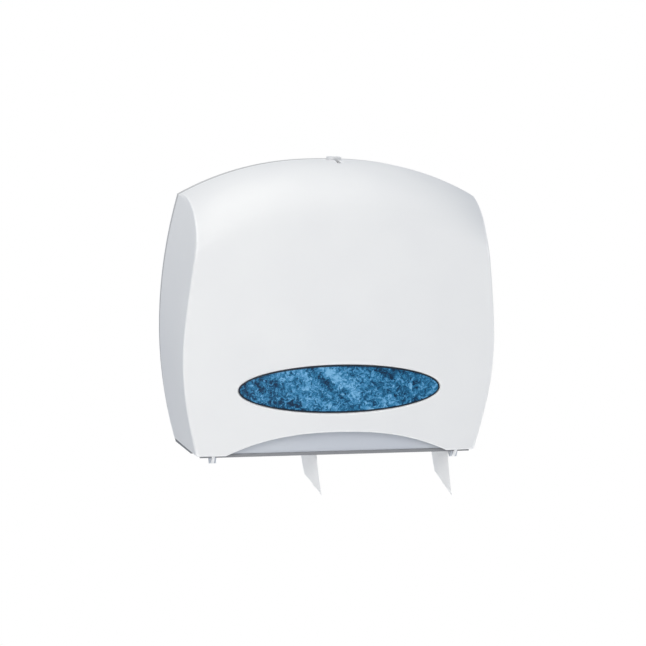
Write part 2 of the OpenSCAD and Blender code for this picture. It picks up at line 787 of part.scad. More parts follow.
module latch_screws() {
    color(steel) hung() at_latch_screws()
        screw(0, 0, 1, housing_wall + latch_foot_t, housing_wall + latch_foot_t + 2);
}
// A coil spring along Z: rings of wire round a helix
spring_r = spring_bore_r - 1;
wire_sides = 6;
rings_a_turn = 8;
module latch_spring() {
    low = latch_floor_z + spring_wire / 2 + 0.1;
    high = spring_seat - spring_wire / 2 - 0.1;
    rings = spring_turns * rings_a_turn;
    rise = atan((high - low) / spring_turns / (2 * PI * spring_r));
    echo(spring_least_gap = (high - low) / spring_turns * cos(rise) - spring_wire);
    points = [for (k = [0 : rings]) for (j = [0 : wire_sides - 1])
        let (
            turn = 360 * k / rings_a_turn,
            a = 360 * j / wire_sides,
            out = spring_wire / 2 * cos(a),
            up = spring_wire / 2 * sin(a)
        )
        [(spring_r + out) * cos(turn) + up * sin(rise) * sin(turn),
            (spring_r + out) * sin(turn) - up * sin(rise) * cos(turn),
            low + (high - low) * k / rings + up * cos(rise)]];
    color(steel) hung() translate([latch_x, -(button_back + button_front) / 2, 0])
        polyhedron(points, concat(
            [[for (j = [0 : wire_sides - 1]) j]],
            [for (k = [0 : rings - 1]) for (j = [0 : wire_sides - 1])
                let (a = k * wire_sides, n = (j + 1) % wire_sides)
                each two_sided(a + j, a + wire_sides + j, a + wire_sides + n, a + n)],
            [[for (j = [wire_sides - 1 : -1 : 0]) rings * wire_sides + j]]
        ));
}

// ---- posts, hubs and rolls, the same for both rolls ----
module post(x, z) {
    difference() {
        union() {
            bar(x, z, housing_wall, post_flange_front, post_flange_r);
            bar(x, z, housing_wall, post_end, post_r);
        }
        bar(x, z, housing_wall - 1, post_end - 18, post_r - 4);
        bar(x, z, post_end - 19, post_end + 1, screw_r + run_gap);
        post_bolt_holes(x, z);
        translate([x, 0, z]) at_bolts()
            bar(0, 0, post_flange_front - 2.2, post_flange_front + 1, screw_head_r + 0.1);
    }
}
module post_screws(x, z) {
    translate([x, 0, z]) at_bolts() screw(0, 0, 1, post_flange_front - 2.2, post_flange_front - 0.1);
}
hub_back = post_flange_front + 0.4;
hub_tube_r = post_r + 4;
hub_r = core_dia / 2 - core_wall - fit_gap;
hub_flange_r = hub_r + 10;
hub_front = roll_front + 2.4;
hub_wall = 2.4;
fins = 6;
module hub(x, z) {
    difference() {
        union() {
            bar(x, z, hub_back, post_end - 0.3, hub_tube_r);
            bar(x, z, hub_back, roll_back, hub_flange_r);
            difference() {
                bar(x, z, roll_back - eps, hub_front, hub_r);
                bar(x, z, roll_back, hub_front + 1, hub_r - hub_wall);
            }
            in_depth(roll_back - eps, roll_front - 20) translate([x, z]) intersection() {
                circle(hub_r - 1);
                for (i = [0 : fins / 2 - 1]) rotate(i * 360 / fins) square([2 * hub_r, 2], center = true);
            }
            in_depth(roll_front + fit_gap, hub_front) translate([x, z]) intersection() {
                difference() {
                    circle(hub_r + 1.5);
                    circle(hub_r - 0.5);
                }
                for (i = [0 : 2]) rotate(120 * i) translate([hub_r, 0]) square([12, 14], center = true);
            }
        }
        bar(x, z, hub_back - 1, post_end, post_r + run_gap);
        for (i = [0 : fins - 1]) rotate_about(x, z, (i + 0.5) * 360 / fins)
            bar(x + (hub_tube_r + hub_r) / 2, z, hub_back - 1, roll_back + 1, 7);
    }
}
module rotate_about(x, z, turn) {
    translate([x, 0, z]) rotate([0, turn, 0]) translate([-x, 0, -z]) children();
}
cap_front = post_end + 2.6;
module end_cap(x, z) {
    difference() {
        bar(x, z, post_end, cap_front, hub_tube_r + 3);
        bar(x, z, post_end - 1, cap_front + 1, screw_r + run_gap);
    }
}
module cap_screw(x, z) {
    screw(x, z, post_end - 17, cap_front, cap_front + 2.4, screw_r, screw_head_r + 1);
}
module core(x, z) {
    difference() {
        bar(x, z, roll_back, roll_front, core_dia / 2);
        bar(x, z, roll_back - 1, roll_front + 1, core_dia / 2 - core_wall);
    }
}
module roll_paper(x, z, r) {
    difference() {
        bar(x, z, roll_back, roll_front, r);
        bar(x, z, roll_back - 1, roll_front + 1, core_dia / 2);
    }
}
// A tail leaves the right side of its roll, hangs down and drifts to the right
tail_steps = 14;
drift_from = 60;
module tail(x, z, hang, most) {
    function drift(h) = h > drift_from ? 0 : most * pow((drift_from - h) / (drift_from + hang), 2);
    heights = [for (i = [0 : tail_steps]) z + (-hang - z) * i / tail_steps];
    intersection() {
        in_depth(roll_back, roll_front) polygon(concat(
            [for (h = heights) [x + fit_gap + drift(h), h]],
            [for (i = [tail_steps : -1 : 0]) [x + fit_gap + tail_t + drift(heights[i]), heights[i]]]
        ));
        across(x - 5, x + most + 5) polygon([
            [roll_back - 1, z + 1], [roll_front + 1, z + 1], [roll_front + 1, -hang],
            [roll_back - 1, tail_slant - hang]
        ]);
    }
}

module main_post() {
    color(cool_grey) hung() post(roll_x, roll_z);
}
module main_post_screws() {
    color(steel) hung() post_screws(roll_x, roll_z);
}
module main_hub() {
    color(cool_grey) hung() hub(roll_x, roll_z);
}
module main_end_cap() {
    color(dark_grey) hung() end_cap(roll_x, roll_z);
}
module main_cap_screw() {
    color(steel) hung() cap_screw(roll_x, roll_z);
}
module main_core() {
    color(cardboard) hung() core(roll_x, roll_z);
}
module main_roll_paper() {
    color(tissue) hung() roll_paper(roll_x, roll_z, roll_r);
}
module main_tail() {
    color(tissue) hung() tail(roll_x + roll_r, roll_z, main_hang, main_drift);
}
module stub_post() {
    color(cool_grey) hung() post(-stub_x, stub_z);
}
module stub_post_screws() {
    color(steel) hung() post_screws(-stub_x, stub_z);
}
module stub_hub() {
    color(cool_grey) hung() hub(-stub_x, stub_z);
}
module stub_end_cap() {
    color(dark_grey) hung() end_cap(-stub_x, stub_z);
}
module stub_cap_screw() {
    color(steel) hung() cap_screw(-stub_x, stub_z);
}
module stub_core() {
    color(cardboard) hung() core(-stub_x, stub_z);
}
module stub_roll_paper() {
    color(tissue) hung() roll_paper(-stub_x, stub_z, stub_r);
}
module stub_tail() {
    color(tissue) hung() tail(-stub_x + stub_r, stub_z, stub_hang, stub_drift);
}

rear_housing();
paper_guide();
guide_screws();
chin_trim();
side_rails();
tear_bar();
tear_bar_rivets();
hinge_pins();
front_cover();
hinge_bracket_left();
hinge_bracket_right();
bracket_screws();
strike();
strike_screws();
panel_ring();
oval_panel();
latch_housing();
latch_screws();
latch_button();
latch_spring();
main_post();
main_post_screws();
main_hub();
main_end_cap();
main_cap_screw();
main_core();
main_roll_paper();
main_tail();
stub_post();
stub_post_screws();
stub_hub();
stub_end_cap();
stub_cap_screw();
stub_core();
stub_roll_paper();
stub_tail();
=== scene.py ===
"""Finish of the jumbo toilet roll dispenser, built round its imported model.

Metres in the scene, millimetres in the sizes below. +Z is up, the wall is Y = 0, the front faces -Y,
and the origin is the middle of the four wall screws.
"""

import math

import bmesh
import bpy
from mathutils import Matrix, Quaternion, Vector


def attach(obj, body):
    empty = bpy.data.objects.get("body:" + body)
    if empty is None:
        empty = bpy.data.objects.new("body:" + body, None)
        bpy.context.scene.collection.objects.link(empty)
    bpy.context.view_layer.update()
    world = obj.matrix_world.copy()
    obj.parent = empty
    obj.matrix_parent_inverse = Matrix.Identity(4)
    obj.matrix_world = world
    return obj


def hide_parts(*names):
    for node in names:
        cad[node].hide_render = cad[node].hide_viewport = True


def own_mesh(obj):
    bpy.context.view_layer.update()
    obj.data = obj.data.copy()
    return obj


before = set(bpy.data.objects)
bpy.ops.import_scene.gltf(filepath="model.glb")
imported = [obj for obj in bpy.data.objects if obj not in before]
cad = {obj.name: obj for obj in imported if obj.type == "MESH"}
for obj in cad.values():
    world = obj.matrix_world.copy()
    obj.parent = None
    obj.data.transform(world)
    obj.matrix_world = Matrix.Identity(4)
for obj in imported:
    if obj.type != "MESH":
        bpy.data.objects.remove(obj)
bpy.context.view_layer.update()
scene = bpy.context.scene

# ---- sizes in millimetres, as in the part; heights count from the case's bottom edge ----
MM = 0.001
SCREW_MID_Z = 180
CASE_W, CASE_H, CASE_D = 409, 344, 146
RIM_D, COVER_GAP, WALL = 22, 0.4, 3
WIDEST_Z, SHOULDER_DROP, SHOULDER_IN, BOTTOM_IN, TOP_POWER = 138, 44, 22.5, 18, 2.3
FACE_LEAN, BELLY_Z, LEAN_SOFT, FACE_BOW, BOW_IN = 7.2, 222, 40, 4, 24
# finer than in the part: the crown gets leaner near the shoulders and the sides' slant swings
CROWN_H, CROWN_POWER, SHOULDER_POWER, POWER_FALL = 66, 2.3, 1.7, 4
SIDE_LEAN, LEAN_SWING, LEAN_WAVE, EDGE_R, EDGE_SHARE = 11.2, 0.6, 200, 2.4, 0.45
ARCH_W, ARCH_H, ARCH_FULL = 266, 27, 2.4
OVAL_W, OVAL_H, OVAL_Z, RING_W = 240, 59, 80.5, 1.6
ROLL_BACK, ROLL_FRONT = 9, 99
ROLL_X, ROLL_Z, ROLL_R = 19, 189.346, 114
STUB_X, STUB_Z, STUB_R = -76, 52, 46
CORE_R = 42
MAIN_HANG, STUB_HANG = 61.5, 56
PAPER_CLEAR, PAPER_SOFT, TISSUE_T = 0.2, 1.6, 0.2
LATCH_X, BUTTON_W, BUTTON_BACK, BUTTON_FRONT, BUTTON_TRAVEL, NOTCH_GAP = 4, 16, 27, 41, 4.8, 0.8
KEY_SLOT_W, KEY_SLOT_LEN = 4.6, 26
CHIN_D, GUIDE_WALL, CHEEK_OUT, TEAR_HALF = 106, 3, 151, 142.2
TEAR_T, TEAR_DROP, TEAR_TOP, TOOTH_PITCH, TOOTH_H = 1.4, 3.4, 15, 3, 1.4
BOLT_CIRCLE_R, POST_FLANGE = 21, 7
SCREW_SEAT_D, GUIDE_SCREW_OUT, GUIDE_SCREW_Z, LATCH_SCREW_X, LATCH_SCREW_DROP = 6, 8, (13, 27), 12, 44
# (radius, length) of a screw's head and of its shank
GUIDE_SCREW, LATCH_SCREW = ((3.8, 2.2), (2, 5)), ((3.8, 2), (2, 5))
POST_SCREW, CAP_SCREW = ((3.8, 2.1), (2, POST_FLANGE - 3.2)), ((4.8, 2.4), (2, 19.6))
STRIKE_SCREW, BRACKET_SCREW = ((2.7, 1.4), (1.5, 4.4)), ((2.7, 1.4), (1.5, 4.7))
CAP_T, SCREW_SINK, STRIKE_T, LIP_T = 1.6, 2.2, 2, 2.4
BRACKET_SEAT_IN, BRACKET_SCREW_Z, FOOT_OVER, OUTER_SCREW_IN, INNER_SCREW_IN = 2.7, 23, 3, 3.2, 10.9
COVER_RIB_X, COVER_RIB_W, COVER_RIB_H, COVER_RIB_LOW, COVER_RIB_HIGH = (58, 118), 2, 6, 124, 262
STRIKE_D, STRIKE_LEN, STRIKE_GAP, STRIKE_BOSS_X, STRIKE_BOSS_W = 47, 10, 1.6, 9.5, 7
RING_GAP, PANEL_GAP, PANEL_FLANGE = 0.3, 0.2, 7
SPRING_R, SPRING_WIRE, SPRING_TURNS, SPRING_LOW, SPRING_HIGH = 3.8, 0.8, 7, 307.1, 327.9

BACK = RIM_D + COVER_GAP
BOW_HALF = CASE_W / 2 - BOW_IN
SHOULDER_Z = CASE_H - SHOULDER_DROP
SHOULDER_X = CASE_W / 2 - SHOULDER_IN


# ---- camera, at the photograph's place ----
CAMERA_PLACE, CAMERA_LOOK, CAMERA_ROLL = (-0.296, -1.7149, 0.2359), (0.17421, 0.97402, -0.14471), 0.9
CAMERA_LENS, CAMERA_SENSOR, CAMERA_SHIFT, CAMERA_CLIP = 78.4, 36, (-0.0138, -0.0277), (0.05, 30)


def place_camera():
    """The camera at the photograph's place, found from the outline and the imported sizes."""
    data = bpy.data.cameras.new("camera")
    data.sensor_width = CAMERA_SENSOR
    data.lens = CAMERA_LENS
    data.shift_x, data.shift_y = CAMERA_SHIFT
    data.clip_start, data.clip_end = CAMERA_CLIP
    cam = bpy.data.objects.new("camera", data)
    scene.collection.objects.link(cam)
    level = Vector(CAMERA_LOOK).to_track_quat("-Z", "Y")
    cam.location = CAMERA_PLACE
    cam.rotation_mode = "QUATERNION"
    cam.rotation_quaternion = level @ Quaternion((0, 0, 1), math.radians(CAMERA_ROLL))
    scene.camera = cam


place_camera()


# ---- shader groups that several finishes share ----
def new_group(name, inputs, outputs):
    """A shader node group with its sockets; returns it with its input and output nodes."""
    tree = bpy.data.node_groups.new(name, "ShaderNodeTree")
    for label, kind, value in inputs:
        socket = tree.interface.new_socket(label, in_out="INPUT", socket_type=kind)
        socket.default_value = value
    for label, kind in outputs:
        tree.interface.new_socket(label, in_out="OUTPUT", socket_type=kind)
    return tree, tree.nodes.new("NodeGroupInput"), tree.nodes.new("NodeGroupOutput")


def add_node(tree, kind, links=None, **values):
    """A node with its settings; links maps an input to the socket or value that feeds it."""
    node = tree.nodes.new(kind)
    for key, value in values.items():
        setattr(node, key, value)
    for key, source in (links or {}).items():
        if isinstance(source, bpy.types.NodeSocket):
            tree.links.new(source, node.inputs[key])
        else:
            node.inputs[key].default_value = source
    return node


def maths(tree, operation, a, b):
    """What the operation makes of two numbers, each a socket or a value."""
    return add_node(tree, "ShaderNodeMath", {0: a, 1: b}, operation=operation).outputs[0]


def place_on(tree):
    """The place on the piece itself, so a pattern stays on it."""
    return add_node(tree, "ShaderNodeTexCoord").outputs["Object"]


def noise_on(tree, place, scale, detail, **more):
    """A noise texture over a place; more sets its other inputs."""
    return add_node(tree, "ShaderNodeTexNoise",
                    {"Vector": place, "Scale": scale, "Detail": detail, **more})


def stretch(tree, value, low=0.0, high=1.0, new_low=0.0, new_high=1.0, clamp=True):
    """The value with the range from low to high moved to another range."""
    return add_node(tree, "ShaderNodeMapRange",
                    {"Value": value, "From Min": low, "From Max": high, "To Min": new_low,
                     "To Max": new_high}, clamp=clamp).outputs["Result"]


def ramp_of(tree, source, stops):
    """A colour ramp fed by source, with (place, colour) stops."""
    ramp = add_node(tree, "ShaderNodeValToRGB", {"Fac": source})
    while len(ramp.color_ramp.elements) < len(stops):
        ramp.color_ramp.elements.new(0.5)
    for element, (place, colour) in zip(ramp.color_ramp.elements, stops):
        element.position = place
        element.color = (*colour, 1)
    return ramp


def moulded_grain():
    """Fine spark-eroded grain and the slow waviness of a moulded wall."""
    tree, given, made = new_group(
        "moulded grain",
        [("Grain Size", "NodeSocketFloat", 900.0), ("Wave Size", "NodeSocketFloat", 14.0),
         ("Grain Depth", "NodeSocketFloat", 0.5)],
        [("Height", "NodeSocketFloat"), ("Tone", "NodeSocketFloat")],
    )
    place = place_on(tree)
    grain = noise_on(tree, place, given.outputs["Grain Size"], 2.0).outputs["Fac"]
    wave = noise_on(tree, place, given.outputs["Wave Size"], 1.0).outputs["Fac"]
    share = maths(tree, "MULTIPLY", grain, given.outputs["Grain Depth"])
    tree.links.new(maths(tree, "ADD", share, wave), made.inputs["Height"])
    tree.links.new(wave, made.inputs["Tone"])
    return tree


def painted_edge_highlight():
    """A painted highlight mask: 1 on open edges and 0 on flats, broken up by noise."""
    tree, given, made = new_group(
        "painted edge highlight",
        [("Low", "NodeSocketFloat", 0.52), ("High", "NodeSocketFloat", 0.62)],
        [("Mask", "NodeSocketFloat")],
    )
    shape = add_node(tree, "ShaderNodeNewGeometry")
    noise = noise_on(tree, place_on(tree), 160.0, 3.0)
    edge = stretch(tree, shape.outputs["Pointiness"], given.outputs["Low"], given.outputs["High"])
    patches = stretch(tree, noise.outputs["Fac"], 0.3, 0.6, new_low=0.4)
    tree.links.new(maths(tree, "MULTIPLY", edge, patches), made.inputs["Mask"])
    return tree


GRAIN = moulded_grain()
EDGE_HIGHLIGHT = painted_edge_highlight()


def group_node(tree, group, values=None):
    """A shared group in a material's tree, with some of its inputs set."""
    node = tree.nodes.new("ShaderNodeGroup")
    node.node_tree = group
    for key, value in (values or {}).items():
        node.inputs[key].default_value = value
    return node


def new_material(name):
    """A node material; returns it with its tree and its shader."""
    material = bpy.data.materials.new(name)
    material.use_nodes = True
    tree = material.node_tree
    return material, tree, tree.nodes["Principled BSDF"]


def bump_from(tree, shader, height, strength, distance):
    """Fine relief: distance is its depth in metres."""
    bump = add_node(tree, "ShaderNodeBump",
                    {"Height": height, "Strength": strength, "Distance": distance})
    tree.links.new(bump.outputs["Normal"], shader.inputs["Normal"])


def moulded_plastic(name, colour, shade, roughness, edge_tone=1.06, edge_from=0.52, edge_to=0.62):
    """Injection-moulded plastic: its colour wanders a little towards shade at random, and a painted
    highlight makes its edges paler.
    """
    material, tree, shader = new_material(name)
    grain = group_node(tree, GRAIN)
    tones = ramp_of(tree, grain.outputs["Tone"], [(0.35, shade), (0.62, colour)])
    # painted highlight: the colour turns paler where the surface is pointy, on edges and lips
    highlight_mask = group_node(tree, EDGE_HIGHLIGHT, {"Low": edge_from, "High": edge_to})
    lighter = tuple(min(1, c * edge_tone) for c in colour)
    mix = add_node(tree, "ShaderNodeMix", data_type="RGBA")
    tree.links.new(highlight_mask.outputs["Mask"], mix.inputs["Factor"])
    tree.links.new(tones.outputs["Color"], mix.inputs[6])
    mix.inputs[7].default_value = (*lighter, 1)
    tree.links.new(mix.outputs[2], shader.inputs["Base Color"])
    rough = stretch(tree, grain.outputs["Tone"], new_low=roughness * 0.92, new_high=roughness * 1.08)
    tree.links.new(rough, shader.inputs["Roughness"])
    shader.inputs["IOR"].default_value = 1.5
    bump_from(tree, shader, grain.outputs["Height"], 0.35, 0.00002)
    return material


def plated_steel(name, dark, light):
    """Pressed steel with a mottled plating."""
    material, tree, shader = new_material(name)
    noise = noise_on(tree, place_on(tree), 420.0, 4.0)
    tones = ramp_of(tree, noise.outputs["Fac"], [(0.3, dark), (0.7, light)])
    tree.links.new(tones.outputs["Color"], shader.inputs["Base Color"])
    rough = stretch(tree, noise.outputs["Fac"], new_low=0.26, new_high=0.44)
    tree.links.new(rough, shader.inputs["Roughness"])
    shader.inputs["Metallic"].default_value = 1.0
    bump_from(tree, shader, noise.outputs["Fac"], 0.2, 0.00002)
    return material


def marbled_sheet():
    """Blue marbling: sky blue blotches and light diagonal veins over dark, finely broken lines."""
    material, tree, shader = new_material("marbled_sheet")
    place = place_on(tree)
    # the broad veins are drawn out and turned, so they run down to the right
    turned = add_node(tree, "ShaderNodeMapping", {"Vector": place}, vector_type="TEXTURE")
    turned.inputs["Location"].default_value = (-0.065, 0, 0)
    turned.inputs["Rotation"].default_value = (0, math.radians(38), 0)
    turned.inputs["Scale"].default_value = (2.2, 1, 0.77)
    veins = noise_on(tree, turned.outputs["Vector"], 26.0, 3.0, Roughness=0.55, Distortion=0.6)
    bent = noise_on(tree, place, 120.0, 4.0, Roughness=0.6)
    shifted = add_node(tree, "ShaderNodeVectorMath",
                       {0: bent.outputs["Color"], 1: (0.012, 0.012, 0.012)}, operation="MULTIPLY")
    moved = add_node(tree, "ShaderNodeVectorMath", {0: place, 1: shifted.outputs["Vector"]},
                     operation="ADD")
    crackle = noise_on(tree, moved.outputs["Vector"], 210.0, 3.0, Roughness=0.6, Distortion=1.2)
    # the two noises are stretched about their middle and added, so dark and light both come out strong
    broad = stretch(tree, veins.outputs["Fac"], 0.36, 0.64, -0.32, 0.32, clamp=False)
    fine = stretch(tree, crackle.outputs["Fac"], 0.31, 0.69, clamp=False)
    tones = ramp_of(tree, maths(tree, "ADD", broad, fine), [
        (0.05, (0.001, 0.022, 0.060)),
        (0.30, (0.004, 0.075, 0.175)),
        (0.52, (0.020, 0.175, 0.350)),
        (0.76, (0.085, 0.310, 0.570)),
        (1.00, (0.200, 0.480, 0.740)),
    ])
    tree.links.new(tones.outputs["Color"], shader.inputs["Base Color"])
    shader.inputs["Roughness"].default_value = 0.35
    shader.inputs["Specular IOR Level"].default_value = 0.22
    return material


def cardboard():
    """Brown fibreboard of the roll cores."""
    material, tree, shader = new_material("cardboard")
    fibre = noise_on(tree, place_on(tree), 260.0, 6.0)
    tones = ramp_of(tree, fibre.outputs["Fac"],
                    [(0.3, (0.36, 0.27, 0.18)), (0.7, (0.56, 0.45, 0.32))])
    tree.links.new(tones.outputs["Color"], shader.inputs["Base Color"])
    shader.inputs["Roughness"].default_value = 0.85
    bump_from(tree, shader, fibre.outputs["Fac"], 0.5, 0.0001)
    return material


def tissue_paper():
    """Soft tissue: crepe grain and a fine embossed dot."""
    material, tree, shader = new_material("tissue")
    place = place_on(tree)
    crepe = noise_on(tree, place, 700.0, 5.0)
    dots = add_node(tree, "ShaderNodeTexVoronoi", {"Vector": place, "Scale": 300.0}, feature="F1")
    tones = ramp_of(tree, crepe.outputs["Fac"],
                    [(0.3, (0.91, 0.91, 0.91)), (0.7, (0.97, 0.97, 0.965))])
    tree.links.new(tones.outputs["Color"], shader.inputs["Base Color"])
    shader.inputs["Roughness"].default_value = 0.92
    shader.inputs["Sheen Weight"].default_value = 1.0
    shader.inputs["Sheen Roughness"].default_value = 0.45
    # a little light comes through the thin plies
    shader.inputs["Subsurface Weight"].default_value = 0.7
    shader.inputs["Subsurface Radius"].default_value = (1, 1, 1)
    shader.inputs["Subsurface Scale"].default_value = 0.002
    height = maths(tree, "ADD", crepe.outputs["Fac"], dots.outputs["Distance"])
    bump_from(tree, shader, height, 0.4, 0.0002)
    return material


PLASTICS = (
    # the housing's grey is partly painted shade: the rim by the wall lies in shade, and its colour was
    # darkened to match
    ("housing_plastic", (0.61, 0.605, 0.60), (0.585, 0.58, 0.575), 0.5),
    ("grey_plastic", (0.60, 0.63, 0.68), (0.57, 0.60, 0.66), 0.5),
    ("dark_plastic", (0.13, 0.135, 0.145), (0.11, 0.115, 0.125), 0.45),
    ("ring_plastic", (0.001, 0.012, 0.030), (0.001, 0.010, 0.025), 0.4),
    ("button_plastic", (0.80, 0.80, 0.81), (0.78, 0.78, 0.79), 0.38),
    # the dark trim is partly painted shade: its strips under the chin and along the side rails stand for
    # the shadow line under the case's bottom edge
    ("trim_plastic", (0.26, 0.265, 0.28), (0.24, 0.245, 0.26), 0.5),
)
FINISH = {name: moulded_plastic(name, *tones) for name, *tones in PLASTICS}
# the white cover's edges get the strongest painted highlight: a pale rim round the oval and along the
# arch
FINISH["white_plastic"] = moulded_plastic("white_plastic", (0.86, 0.86, 0.862), (0.845, 0.845, 0.85), 0.6,
                                          edge_tone=1.15, edge_from=0.508, edge_to=0.522)
FINISH["marbled_panel"] = marbled_sheet()
FINISH["steel"] = plated_steel("steel", (0.46, 0.47, 0.49), (0.68, 0.69, 0.70))
# the strike is near-black partly as painted shade, so the key slot above it looks dark
FINISH["blackened_steel"] = plated_steel("blackened_steel", (0.03, 0.03, 0.032), (0.06, 0.06, 0.065))
FINISH["cardboard"] = cardboard()
FINISH["tissue"] = tissue_paper()


# ---- helpers for meshes ----
MERGE = 1e-6
FLAT_ANGLE, BROAD_SHARE, BEVEL_ANGLE, SMOOTH_ANGLE = math.radians(8), 12, 32, 50


def mesh_object(name, points, faces):
    """An object at the origin from points in millimetres, (x, depth, height), and faces."""
    mesh = bpy.data.meshes.new(name)
    places = [(x * MM, -d * MM, (z - SCREW_MID_Z) * MM) for x, d, z in points]
    mesh.from_pydata(places, [], faces)
    mesh.update()
    piece = bpy.data.objects.new(name, mesh)
    scene.collection.objects.link(piece)
    return piece


def tidy_mesh(piece):
    """Merges doubles and turns every face outwards."""
    shape = bmesh.new()
    shape.from_mesh(piece.data)
    bmesh.ops.remove_doubles(shape, verts=shape.verts, dist=MERGE)
    bmesh.ops.recalc_face_normals(shape, faces=shape.faces)
    shape.to_mesh(piece.data)
    shape.free()
    piece.data.update()


def bake(piece):
    """Applies the modifiers, so the piece is a plain mesh."""
    graph = bpy.context.evaluated_depsgraph_get()
    mesh = bpy.data.meshes.new_from_object(piece.evaluated_get(graph))
    old = piece.data
    piece.modifiers.clear()
    piece.data = mesh
    mesh.name = piece.name
    bpy.data.meshes.remove(old)


def smooth(piece, angle=SMOOTH_ANGLE):
    """Smooth shading up to angle, with a crisp border between a broad face and a narrow rounding."""
    piece.data.shade_smooth()
    piece.data.set_sharp_from_angle(angle=math.radians(angle))
    shape = bmesh.new()
    shape.from_mesh(piece.data)
    for edge in shape.edges:
        if len(edge.link_faces) == 2 and edge.calc_face_angle() > FLAT_ANGLE:
            areas = sorted(face.calc_area() for face in edge.link_faces)
            if areas[1] > BROAD_SHARE * areas[0]:
                edge.smooth = False
    shape.to_mesh(piece.data)
    shape.free()


def round_edges(piece, width, angle=BEVEL_ANGLE):
    """Rounds every edge sharper than angle, width millimetres across."""
    bevel = piece.modifiers.new("rounded edges", "BEVEL")
    bevel.width = width * MM
    bevel.segments = 2
    bevel.limit_method = "ANGLE"
    bevel.angle_limit = math.radians(angle)
    bake(piece)


def finish_piece(piece, slot, body, node):
    """Gives the piece its finish and its body, and lets it stand for the part's node."""
    piece.data.materials.clear()
    piece.data.materials.append(FINISH[slot])
    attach(piece, body)
    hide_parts(node)


def combine(piece, solid, operation):
    """Joins a simple solid to the piece, or cuts it out."""
    other = mesh_object("solid", *solid)
    tidy_mesh(other)
    change = piece.modifiers.new("solid", "BOOLEAN")
    change.object = other
    change.operation = operation
    change.solver = "EXACT"
    bake(piece)
    bpy.data.objects.remove(other)


def prism_mesh(x0, x1, loop):
    """A side view outline, (depth, height), drawn out from one x to another."""
    n = len(loop)
    points = [(x, d, z) for x in (x0, x1) for d, z in loop]
    faces = [tuple(range(n)), tuple(range(2 * n - 1, n - 1, -1))]
    return points, faces + [(i, n + i, n + (i + 1) % n, (i + 1) % n) for i in range(n)]


def box_mesh(low, high):
    """A box from its low to its high corner."""
    (x0, d0, z0), (x1, d1, z1) = low, high
    points = [(x, d, z) for x in (x0, x1) for d in (d0, d1) for z in (z0, z1)]
    faces = [(0, 1, 3, 2), (4, 6, 7, 5), (0, 4, 5, 1), (2, 3, 7, 6), (0, 2, 6, 4), (1, 5, 7, 3)]
    return points, faces


def loft(loops, closed):
    """Skins loops of equal length; closed joins the last loop to the first."""
    n = len(loops[0])
    points = [p for loop in loops for p in loop]
    faces = []
    for k in range(len(loops) if closed else len(loops) - 1):
        a, b = k * n, (k + 1) % len(loops) * n
        faces += [(a + i, a + (i + 1) % n, b + (i + 1) % n, b + i) for i in range(n)]
    return points, faces


# ---- the cover ----
def side_x(z):
    """Half the case's width at the wall, at height z."""
    upper = SHOULDER_IN * ((z - WIDEST_Z) / (SHOULDER_Z - WIDEST_Z)) ** 2
    lower = BOTTOM_IN * ((WIDEST_Z - z) / WIDEST_Z) ** 2
    return CASE_W / 2 - (upper if z > WIDEST_Z else lower)


def top_z(x):
    """Height of the arched top edge."""
    return CASE_H - SHOULDER_DROP * (abs(x) / SHOULDER_X) ** TOP_POWER


def bottom_z(x):
    """Height of the bottom edge, with the arch in its middle."""
    return ARCH_H * (1 - (2 * abs(x) / ARCH_W) ** ARCH_FULL) if abs(x) < ARCH_W / 2 else 0


def face_depth(z):
    """Depth of the face in the middle: upright above the belly, leaning back below it."""
    t = BELLY_Z - z
    return CASE_D - math.tan(math.radians(FACE_LEAN)) * (t + math.sqrt(t * t + LEAN_SOFT**2)) / 2


def quarter(t, power):
    """A quarter of a superellipse: 1 at t = 0, 0 at t = 1."""
    return max(0, 1 - t**power) ** (1 / power)


def crown_share(below, inset, x):
    """The share of its full depth that the cover has this far below its top; leaner at the shoulders."""
    height = CROWN_H - inset
    power = CROWN_POWER + (SHOULDER_POWER - CROWN_POWER) * min(1, abs(x) / SHOULDER_X) ** POWER_FALL
    return 1 if below >= height else quarter((height - below) / height, power)


def crown_z(depth, inset):
    """Height of the crown in the middle, at this depth."""
    whole = face_depth(CASE_H) - inset - BACK
    share = quarter((depth - BACK) / whole, CROWN_POWER)
    return CASE_H - inset - (CROWN_H - inset) * (1 - share)


def lean_at(z):
    """How far the side panel slants, in degrees."""
    return SIDE_LEAN + LEAN_SWING * math.cos(2 * math.pi * z / LEAN_WAVE)


def surface_depth(x, z, inset=0):
    """Depth of the front skin, or of the skin set back behind it."""
    bowed = face_depth(z) - inset - BACK - FACE_BOW * (x / BOW_HALF) ** 2
    return BACK + bowed * crown_share(top_z(x) - inset - z, inset, x)


CROWN_ROWS, FACE_ROWS, LIP_ROWS = 26, 44, 5
FACE_COLS, EDGE_COLS, SIDE_COLS = 40, 10, 18
LIP_R, MIN_EDGE, MIN_SIDE, COL_CROWD = 2.6, 1, 1, 1.4


